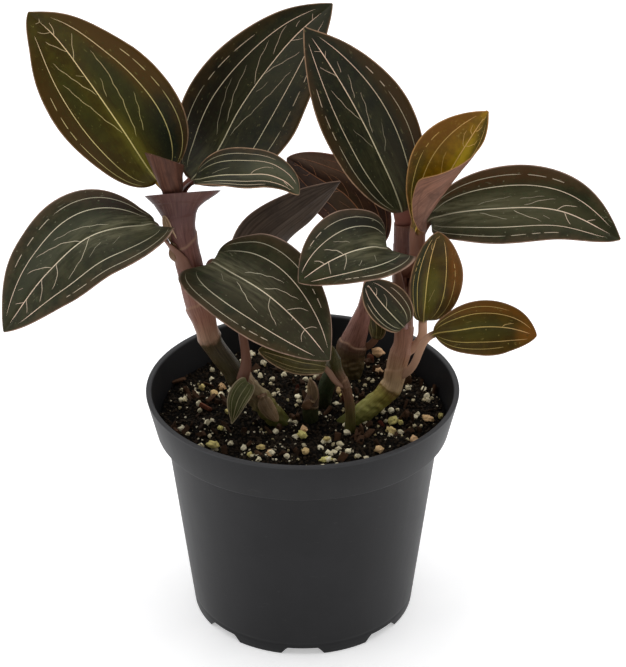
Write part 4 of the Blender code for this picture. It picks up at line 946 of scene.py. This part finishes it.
def veinPaths(plan, grid, draw):
    # every vein as its points in (along, across), its radii and its strength
    widest = grid["reach"].max()
    small = min(1.0, 0.62 + widest / 45)
    first, last = veinPlan["midribRadius"]
    paths = [([(t, 0.0) for t in np.linspace(-0.1, 0.965, 56)], (first * small, last * small), 1.0)]
    for side, veins in zip((-1, 1), plan["laterals"]):
        for share, begin, end, weight in veins:
            radius = veinPlan["lateralRadius"] * (0.6 + 0.4 * weight) * small
            if share * widest >= 2.0:
                paths += [(piece, (radius, radius * 0.75), weight)
                          for piece in longVein(share, begin, end, weight, side, widest, draw)]
        if widest < 8 or "tube" in plan or "branches" in plan:
            continue
        keep = min(1.0, max(0.3, (widest - 9) / 8))
        for start, run, reach, skip, weight in veinPlan["branches"]:
            start += draw.uniform(-0.02, 0.02) + (0.05 if side > 0 else 0)
            run *= draw.uniform(0.8, 1.15)
            reach *= draw.uniform(0.85, 1.1)
            hooks = draw.random() < 0.35
            if draw.random() > keep * veinPlan["branchShare"]:
                continue
            points = [(start + run * s ** 1.15 + 0.004 * math.sin(11 * s + start * 40),
                       side * reach * (1 - (1 - s) ** (1.15 if skip else 1.7))) for s in np.linspace(skip, 1, 14)]
            radius = veinPlan["branchRadius"] * small
            paths.append((points, (radius * 1.15, radius * 0.55), weight))
            if hooks and not skip:  # a short fork beyond the middle
                t, u = points[draw.randint(8, 11)]
                twig = [(t + 0.004 * s, u + side * 0.06 * s) for s in np.linspace(0, 1, 4)]
                paths.append((twig, (radius * 0.7, radius * 0.45), weight * 0.8))
    for weight, *marks in plan.get("branches", ()):
        knots = [(t / 100, u / 100, 0.0) for t, u in zip(marks[::2], marks[1::2])]
        shift = draw.uniform(0, 6)
        points = [(t, u + veinPlan["tremor"] * (math.sin(45 * t + shift) + math.sin(97 * t)))
                  for t, u, _ in pathThrough(knots, np.linspace(0, 1, 18))[0]]
        radius = veinPlan["branchRadius"] * (0.7 + 0.4 * weight / 100)
        paths.append((points, (radius * 1.1, radius * 0.65), weight / 100))
    return paths


def newTree(name, **inputs):
    # an empty Geometry Nodes group and readings of its inputs
    tree = bpy.data.node_groups.new(name, "GeometryNodeTree")
    for label, kind in inputs.items():
        tree.interface.new_socket(label, in_out="INPUT", socket_type="NodeSocket" + kind)
    tree.interface.new_socket("Mesh", in_out="OUTPUT", socket_type="NodeSocketGeometry")
    source = put(tree, "NodeGroupInput")
    return tree, {label: Reading(tree, source.outputs[label]) for label in inputs}


def endTree(tree, geometry, finish):
    geometry = read(tree, "GeometryNodeRealizeInstances", 0, {"Geometry": geometry})
    geometry = read(tree, "GeometryNodeSetMaterial", 0, {"Geometry": geometry, "Material": finish})
    put(tree, "NodeGroupOutput", {"Mesh": geometry})
    return tree


def numberOf(tree, label):
    return read(tree, "GeometryNodeInputNamedAttribute", "Attribute", {"Name": label}, data_type="FLOAT")


def veinTree():
    # turns lines with a "veinRadius" into round tubes with one finish
    tree, given = newTree("vein_lines", Lines="Geometry", Sides="Int", Finish="Material")
    curve = read(tree, "GeometryNodeMeshToCurve", 0, {"Mesh": given["Lines"]})
    ring = read(tree, "GeometryNodeCurvePrimitiveCircle", 0, {"Resolution": given["Sides"], "Radius": 1.0})
    tube = read(tree, "GeometryNodeCurveToMesh", 0, {"Curve": curve, "Profile Curve": ring, "Fill Caps": True,
                                                     "Scale": numberOf(tree, "veinRadius")})
    return endTree(tree, read(tree, "GeometryNodeSetShadeSmooth", 0, {"Geometry": tube}), given["Finish"])


def withTree(item, tree, **values):
    change = item.modifiers.new(tree.name, "NODES")
    change.node_group = tree
    for entry in tree.interface.items_tree:
        if entry.item_type == "SOCKET" and entry.in_out == "INPUT" and entry.name in values:
            change[entry.identifier] = values[entry.name]


def veinMesh(plan, grid, upper, seed, tree, finish):
    points, edges, radii, along, strength = [], [], [], [], []
    for path, (first, last), weight in veinPaths(plan, grid, random.Random(seed)):
        for k, (t, u) in enumerate(path):
            s = k / (len(path) - 1)
            radius = first + (last - first) * s
            sink = radius * veinPlan["sink"]
            if k:
                edges.append((len(points) - 1, len(points)))
            points.append((surfacePoint(upper, grid, t, u) - surfacePoint(grid["normal"], grid, t, u) * sink) * mm)
            radii.append(radius * mm * min(1.0, 0.35 + 6 * min(s, 1 - s)))
            along.append(t)
            strength.append(weight)
    numbers = dict(veinRadius=radii, along=along, strength=strength)
    lines = newObject("lines", meshFrom("lines", points, [], numbers, edges=edges))
    withTree(lines, tree, Sides=veinPlan["sides"], Finish=finish)
    tubes = bake(lines)
    bpy.data.objects.remove(lines)
    return tubes


def leafPlace(finish, seed):
    # along and across the blade, how far from the midrib and from the edge, and a spot, in millimetres
    across, along, width = kept(finish, "across"), kept(finish, "along"), kept(finish, "halfWidth")
    spot = vectorOf(across * width, along * kept(finish, "bladeLength"), seed * 7.3)
    return across, along, width, abs(across), abs(abs(across) - 1.0) * width, spot


def upperFinish(name, look, seed, tints):
    finish = newFinish(name, 0.16)
    across, along, width, side, rim, spot = leafPlace(finish, seed)
    patch, fine = cloud(spot, 0.22, 3, 0.6), cloud(stretched(spot, (1, 0.6, 1)), 1.1, 2, 0.6)
    cell = cells(stretched(spot, (1, 0.55, 1)), 1.3)
    streak = cloud(stretched(spot, (1, 0.13, 1)), 0.8, 3, 0.6)
    colour = blend(band(patch, 0.35, 0.68), look["ground"], look["mid"])
    for t, u, runs, spreads, shade, amount in tints:
        far, wide = (along - t / 100) * (100 / runs), (across - u / 100) * (100 / spreads)
        colour = blend(band(far * far + wide * wide, 1.0, 0.0, amount / 100), colour, shade)
    colour = blend(band(cell, 0.55, 0.15) * band(fine, 0.4, 0.7) * 0.6, colour, look["cell"])
    # a painted sheen: paler grey streaks close to the midrib, strongest at the base and fading towards the tip
    paintedSheen = band(side * width, 9.0, 0.5) * band(along, 0.75, 0.15) * band(streak, 0.3, 0.75)
    colour = blend(paintedSheen * look["paintedSheenAmount"], colour, look["paintedSheen"])
    edge = band((patch - 0.5) * 0.5 + side, 0.66, 1.02)
    colour = blend(edge * look["marginAmount"], colour, look["margin"])
    dashes = band(cloud(stretched(spot, (1, 0.28, 1)), 1.5, 1, 0.4), 0.66, 0.74)
    colour = blend(dashes * band(cloud(spot, 0.16, 1), 0.48, 0.62) * 0.34, colour, look["dash"])
    colour = blend(band(cells(spot, 0.45), 0.16, 0.08) * band(fine, 0.52, 0.6) * 0.6, colour, look["dash"])
    # a thin pale line along the blade's margin: partly the margin's own pink tone, partly a painted rim highlight
    marginToneAndPaintedRimHighlight = band(rim, 0.48, 0.14) * band(along, 0.0, 0.08) * (band(patch, 0.4, 0.6) * 0.4 + 0.5)
    colour = blend(marginToneAndPaintedRimHighlight, colour, look["line"])
    colour = blend(band(along, 0.03, -0.12), colour, look["stalk"])
    return coat(finish, colour, fine * 0.22 + 0.36, cell * 0.5 + streak * 0.7, 0.22, 0.0003)


def lowerFinish(name, look, seed):
    finish, under = newFinish(name, 0.16), look["under"]
    _, along, width, side, rim, spot = leafPlace(finish, seed + 3)
    patch, streak = cloud(spot, 0.2, 3, 0.6), cloud(stretched(spot, (1, 0.06, 1)), 1.3, 3, 0.65)
    colour = blend(band(streak, 0.35, 0.68), under, tuple(min(255, level * 1.28) for level in under))
    colour = blend(band(patch, 0.5, 0.75, 0.5), colour, tuple(level * 0.66 for level in under))
    for share in (0.0, 0.27, 0.52, 0.79):  # the veins
        colour = blend(band(abs(side - share) * width, 0.45, 0.12, 0.55), colour, look["underLine"])
    # the same pale margin line beneath: partly the margin's own tone, partly a painted rim highlight
    colour = blend(band(rim, 0.42, 0.16, 0.6), colour, look["line"])
    colour = blend(band(along, 0.05, -0.15), colour, look["stalk"])
    return coat(finish, colour, patch * 0.2 + 0.4, streak, 0.35, 0.0004)


def veinFinish(name, look):
    finish = newFinish(name, 0.3)
    along, patch = kept(finish, "along"), cloud(placeIn(finish), 320)
    root = tuple((a + b) / 2 for a, b in zip(look["veinBase"], look["mid"]))
    colour = ramp(along, ((0.0, root), (0.3, look["veinBase"]), (0.85, look["veinTip"])))
    colour = blend(patch * 0.35 + (kept(finish, "strength") * -1.0 + 0.82), colour, look["mid"])
    colour = blend(band(along, 0.0, -0.1), colour, look["stalk"])
    return coat(finish, colour, patch * 0.2 + 0.32)


def leafShell(upper, lower, grid):
    # the closed skin of a leaf, with a rounded edge between the two surfaces
    rows, columns = upper.shape[:2]
    count = 2 * columns + 2
    rims = []
    for edge, inner in ((columns - 1, columns - 2), (0, 1)):
        outward = upper[:, edge] - upper[:, inner]
        outward /= np.maximum(np.linalg.norm(outward, axis=1, keepdims=True), 1e-6)
        rims.append((upper[:, edge] + lower[:, edge]) / 2 + outward * leafSkin["edgeThick"] * 0.3)
    points = np.concatenate([upper, rims[0][:, None], lower[:, ::-1], rims[1][:, None]], axis=1).reshape(-1, 3)
    faces = quads(rows - 1, count)
    slots = [0 if k <= columns - 1 or k == count - 1 else 1 for k in range(count)] * (rows - 1)
    for base, flip in ((0, True), ((rows - 1) * count, False)):
        ends = [(j, j + 1, 2 * columns - 1 - j, 2 * columns - j) for j in range(columns - 1)]
        ends += [(columns - 1, columns, columns + 1), (count - 1, 2 * columns, 0)]
        ends = [tuple(base + k for k in end) for end in ends]
        faces += [end[::-1] for end in ends] if flip else ends
        slots += [0] * len(ends)
    u = np.concatenate([grid["u"], [1.0], grid["u"][::-1], [-1.0]])
    reach = grid["reach"]
    reach = np.concatenate([reach, reach[:, -1:], reach[:, ::-1], reach[:, :1]], axis=1)
    numbers = dict(across=np.tile(u, rows), along=np.repeat(grid["t"], count), halfWidth=reach.reshape(-1),
                   bladeLength=np.full(rows * count, grid["blade"]), strength=np.ones(rows * count))
    return points * mm, faces, slots, numbers


def joinTubes(points, faces, slots, numbers, tubes, slot):
    # adds the veins' tubes to a leaf's skin
    def valuesOf(data, label, size):
        values = np.zeros(len(tubes.vertices) * size, np.float32)
        data.foreach_get(label, values)
        return values

    faces += [tuple(len(points) + v for v in polygon.vertices) for polygon in tubes.polygons]
    slots += [slot] * len(tubes.polygons)
    for label, values in numbers.items():
        more = np.zeros(len(tubes.vertices))
        if label in tubes.attributes:
            more = valuesOf(tubes.attributes[label].data, "value", 1)
        numbers[label] = np.concatenate([values, more])
    return np.vstack([points, valuesOf(tubes.vertices, "co", 3).reshape(-1, 3)]), faces, numbers, slots


def buildLeaves():
    tree = veinTree()
    low, high = np.array(cadBox[0]) + 1e-5, np.array(cadBox[1]) - 1e-5
    for seed, (name, given) in enumerate(leafPlans.items(), 1):
        plan = {**usualLeaf, **given}
        look, grid = leafLooks[plan["look"]], leafGrid(plan)
        upper, lower = leafSurfaces(plan, grid, seed)
        points, faces, slots, numbers = leafShell(upper, lower, grid)
        points = np.clip(points, low, high)
        veins = veinFinish(name + "_veins", look)
        tubes = veinMesh(plan, grid, upper, seed, tree, veins)
        mesh = meshFrom(name + "_blade", *joinTubes(points, faceOut(points, faces), slots, numbers, tubes, 2))
        for finish in (upperFinish(name + "_upper", look, seed, plan["tints"]),
                       lowerFinish(name + "_lower", look, seed), veins):
            mesh.materials.append(finish)
        settle(newObject(name + "_blade", mesh), None if "extra" in plan else name)


buildLeaves()
print("leaves")


soil = dict(
    level=83.0, wave=0.6, lumpCount=46, lumpHeight=2.0, lumpRadius=4.5, lumpReach=50.0, lumpFree=9.0, seed=12,
    rings=44, sectors=120, roughness=0.55, floor=5.3, gap=0.5, chunkLift=0.9, clusterSize=9.0,
)

# each kind of grain: how many to the square metre, its smallest and largest size in
# millimetres, its darkest and lightest colour, how far it is lifted, how flat it is and how strongly it gathers in
# clusters
grainParts = ("name", "shape", "density", "size", "tones", "lift", "flat", "cluster", "seed")
grains = [dict(zip(grainParts, kind)) for kind in (
    ("crumbs", "crumb", 900000, (0.5, 1.6), ((13, 11, 8), (48, 38, 27)), 0.1, 0.8, 0, 3),
    ("bark_chips", "chip", 16000, (1.4, 3.8), ((22, 17, 12), (80, 56, 39)), 0.4, 0.35, 0.3, 5),
    ("red_chips", "chip", 1100, (1.8, 3.6), ((70, 28, 18), (112, 66, 48)), 0.5, 0.4, 0.2, 6),
    ("perlite_fine", "pebble", 52000, (0.35, 1), ((146, 132, 100), (240, 230, 200)), 0.5, 0.9, 1, 7),
    ("perlite", "pebble", 25000, (0.9, 2.9), ((168, 152, 108), (250, 240, 206)), 0.5, 0.85, 0.9, 8),
    ("pale_chunks", "pebble", 2600, (2.2, 3.4), ((210, 200, 124), (226, 184, 140)), 0.7, 0.8, 0.3, 11),
)]

# single pieces that stand out: x, y, size and height in millimetres, how far from yellow to tan, and for the root
# nub of the back stem its height above the soil
landmarks = (
    (-33.4, -25.6, 4.4, 0.9, 0.15), (-0.2, -18.4, 4.2, 1.0, 0.0), (34.5, -8.1, 4.4, 1.0, 0.05),
    (8.7, -36.3, 4.2, 0.7, 0.0), (33.4, -15.4, 4.0, 1.0, 0.45), (-12.0, -32.0, 4.0, 0.8, 0.9),
    (48.0, -6.4, 4.8, 0.6, 0.85), (41.0, 27.0, 4.0, 0.7, 0.8), (-15.5, -27.5, 3.2, 0.8, 0.4),
    (9.0, -21.5, 2.8, 0.9, 0.35), (29.6, 27.5, 4.8, 1.1, 1.0, 10.5),
)


def soilHeight(x, y, feet, lumps):
    # millimetres above the pot's foot
    z = soil["level"] - soil["wave"] + soil["wave"] * math.sin(0.150 * x) * math.cos(0.130 * y)
    near = min(math.hypot(x - fx, y - fy) for fx, fy in feet) / soil["lumpFree"]
    for cx, cy, size, lift in lumps:
        away = math.hypot(x - cx, y - cy) / size
        if away < 3:
            z += lift * math.exp(-away * away) * min(1.0, near ** 2)
    spot = Vector((x, y, 3.0))
    return z + soil["roughness"] * (noise.noise(spot * 0.35) + 0.6 * noise.noise(spot * 0.9) - 0.5)


def soilFinish():
    finish = newFinish("dark_soil", 0.08)
    coarse, fine = cloud(placeIn(finish), 420, 5, 0.7), cloud(placeIn(finish), 1700, 4, 0.7)
    colour = blend(band(coarse, 0.35, 0.7), (8, 7, 6), (22, 18, 14))
    colour = blend(band(fine, 0.62, 0.78, 0.4), colour, (52, 40, 30))
    return coat(finish, colour, fine * 0.2 + 0.8, coarse + fine, 0.9, 0.0012)


def grainFinish(kind):
    finish, (dark, light) = newFinish(kind["name"] + "_finish", 0.1), kind["tones"]
    rough = cloud(placeIn(finish), 1500, 4, 0.7)
    colour = blend(band(rough, 0.5, 0.75, 0.5), blend(kept(finish, "grainTone"), dark, light),
                   tuple(level * 0.62 for level in dark))
    return coat(finish, colour, rough * 0.3 + 0.6, rough, 0.6, 0.0006)


def grainShape(shape, seed):
    # one grain about a metre across, which the scatter scales down
    draw = random.Random(seed)
    work = bmesh.new()
    if shape == "chip":
        bmesh.ops.create_cube(work, size=1.0)
        bmesh.ops.bevel(work, geom=work.edges[:], offset=0.12, segments=1, affect="EDGES")
        for vert in work.verts:
            vert.co.x *= 1.3 + 0.3 * draw.random()
            vert.co.y *= 0.7
    else:
        bmesh.ops.create_icosphere(work, subdivisions=2 if shape == "pebble" else 1, radius=0.5)
    for vert in work.verts:
        spot = vert.co * 2.6 + Vector((seed, 2.0 * seed, 0))
        vert.co *= 1 + 0.62 * noise.noise(spot) + draw.uniform(-0.1, 0.1)
    item = newObject("grain", meshOf(work, "grain"))
    item.data.set_sharp_from_angle(angle=math.radians(50))
    item.hide_render = True
    return item


def landmarkChunks(finish):
    # the few larger pale pieces, each of its own shape
    joined = bmesh.new()
    label = joined.verts.layers.float.new("grainTone")
    for seed, (x, y, size, flat, shade, *high) in enumerate(landmarks, 40):
        turn = Matrix.Rotation(random.Random(seed).uniform(0, 6), 4, "Z")
        middle = Vector((x, y, soil["level"] + soil["chunkLift"] + sum(high)))
        for vert in bmesh.ops.create_icosphere(joined, subdivisions=3, radius=0.5)["verts"]:
            spot = vert.co * 3.2 + Vector((seed, 0, 0))
            vert.co *= 1 + 0.5 * noise.noise(spot) + 0.16 * noise.noise(spot * 3)
            vert.co = (turn @ (vert.co * Vector((size, size * 0.72, size * 0.68 * flat))) + middle) * mm
            vert[label] = shade
    bmesh.ops.recalc_face_normals(joined, faces=joined.faces)
    mesh = meshOf(joined, "soil_landmarks")
    mesh.materials.append(finish)
    settle(newObject("soil_landmarks", mesh), None)


def scatterTree(shapes):
    # puts three kinds of a grain on a surface, each turned and sized at random
    tree, given = newTree("scatter_grains", Surface="Geometry", Density="Float", Smallest="Float", Largest="Float",
                          Flatness="Float", Lift="Float", Seed="Int", Finish="Material")
    seed = given["Seed"]
    spots = read(tree, "GeometryNodeDistributePointsOnFaces", "Points", {
        "Mesh": given["Surface"], "Density": given["Density"] * numberOf(tree, "openSoil"), "Seed": seed})
    gather = put(tree, "GeometryNodeJoinGeometry")
    for shape in shapes:
        source = put(tree, "GeometryNodeObjectInfo", {"Object": shape, "As Instance": True})
        tree.links.new(source.outputs["Geometry"], gather.inputs["Geometry"])
    size = read(tree, "FunctionNodeRandomValue", 1, {2: given["Smallest"], 3: given["Largest"], "Seed": seed})
    shade = read(tree, "FunctionNodeRandomValue", 1, {"Seed": seed})
    turn = read(tree, "FunctionNodeRandomValue", 0, {1: (2 * math.pi,) * 3, "Seed": seed}, data_type="FLOAT_VECTOR")
    placed = read(tree, "GeometryNodeInstanceOnPoints", 0, {
        "Points": spots, "Instance": Reading(tree, gather.outputs[0]), "Pick Instance": True, "Rotation": turn,
        "Scale": vectorOf(size, size, size * given["Flatness"])})
    lift = read(tree, "ShaderNodeCombineXYZ", 0, {2: given["Lift"] * given["Smallest"]})
    placed = read(tree, "GeometryNodeTranslateInstances", 0, {
        "Instances": placed, "Translation": lift, "Local Space": False})
    placed = read(tree, "GeometryNodeStoreNamedAttribute", 0, {
        "Geometry": placed, "Name": "grainTone", "Value": shade}, data_type="FLOAT", domain="INSTANCE")
    return endTree(tree, placed, given["Finish"])


def buildSoil():
    draw = random.Random(soil["seed"])
    lumps = []
    for _ in range(soil["lumpCount"]):
        angle = draw.uniform(0, 2 * math.pi)
        out = soil["lumpReach"] * math.sqrt(draw.random())
        lumps.append((out * math.cos(angle), out * math.sin(angle), soil["lumpRadius"] * draw.uniform(0.7, 1.3),
                      soil["lumpHeight"] * draw.uniform(0.4, 1.0)))
    feet = [stem["points"][0][:2] for stem in stemPlans.values()]
    rings, sectors, edge = soil["rings"], soil["sectors"], potWall(soil["level"], True) - soil["gap"]
    points, openSoil = [(0.0, 0.0, soilHeight(0, 0, feet, lumps))], [1.0]
    for r in range(1, rings + 1):
        for x, y, _ in circle(edge * r / rings, 0, sectors):
            points.append((x, y, soilHeight(x, y, feet, lumps)))
            near = min(math.hypot(x - fx, y - fy) - stem["radii"][0][1]
                       for (fx, fy), stem in zip(feet, stemPlans.values()))
            openSoil.append(1.0 if near > 0.8 and edge * r / rings < edge - 1.0 else 0.0)
    middle = [(0, 1 + k, 1 + (k + 1) % sectors) for k in range(sectors)]
    top = meshFrom("soil_top", np.array(points) * mm, middle + quads(rings - 1, sectors, 1, True),
                   dict(openSoil=openSoil))

    body = list(points)
    for height in (bandStart + pot["wall"], bandStart - pot["wall"], soil["floor"]):
        body += circle(potWall(height, True) - soil["gap"], height, sectors)
    faces = middle + quads(rings + 2, sectors, 1, True) + [tuple(range(len(body) - 1, len(body) - 1 - sectors, -1))]
    body = np.array(body) * mm
    mesh = meshFrom("soil_body", body, faceOut(body, faces))
    mesh.materials.append(soilFinish())
    settle(newObject("soil_body", mesh), "soil")

    for kind in grains:
        shapes = [grainShape(kind["shape"], kind["seed"] + n) for n in range(3)]
        surface = newObject("soil_" + kind["name"], top.copy())
        thinned = []
        for (x, y, _), free in zip(points, openSoil):
            grouping = noise.noise(Vector((x, y, 10.0 * kind["seed"])) / soil["clusterSize"])
            thinned.append(free * max(0.0, 1 + kind["cluster"] * 2.2 * grouping))
        surface.data.attributes["openSoil"].data.foreach_set("value", thinned)
        finish = grainFinish(kind)
        low, high = kind["size"]
        withTree(surface, scatterTree(shapes), Density=float(kind["density"]), Smallest=low * mm, Largest=high * mm,
                 Flatness=kind["flat"], Lift=kind["lift"], Seed=kind["seed"], Finish=finish)
        surface.data = bake(surface)
        for shape in shapes:
            bpy.data.objects.remove(shape)
        print(" ", kind["name"], len(surface.data.polygons), "faces")
        settle(surface, None)
    landmarkChunks(finish)


buildSoil()
print("soil and grains")
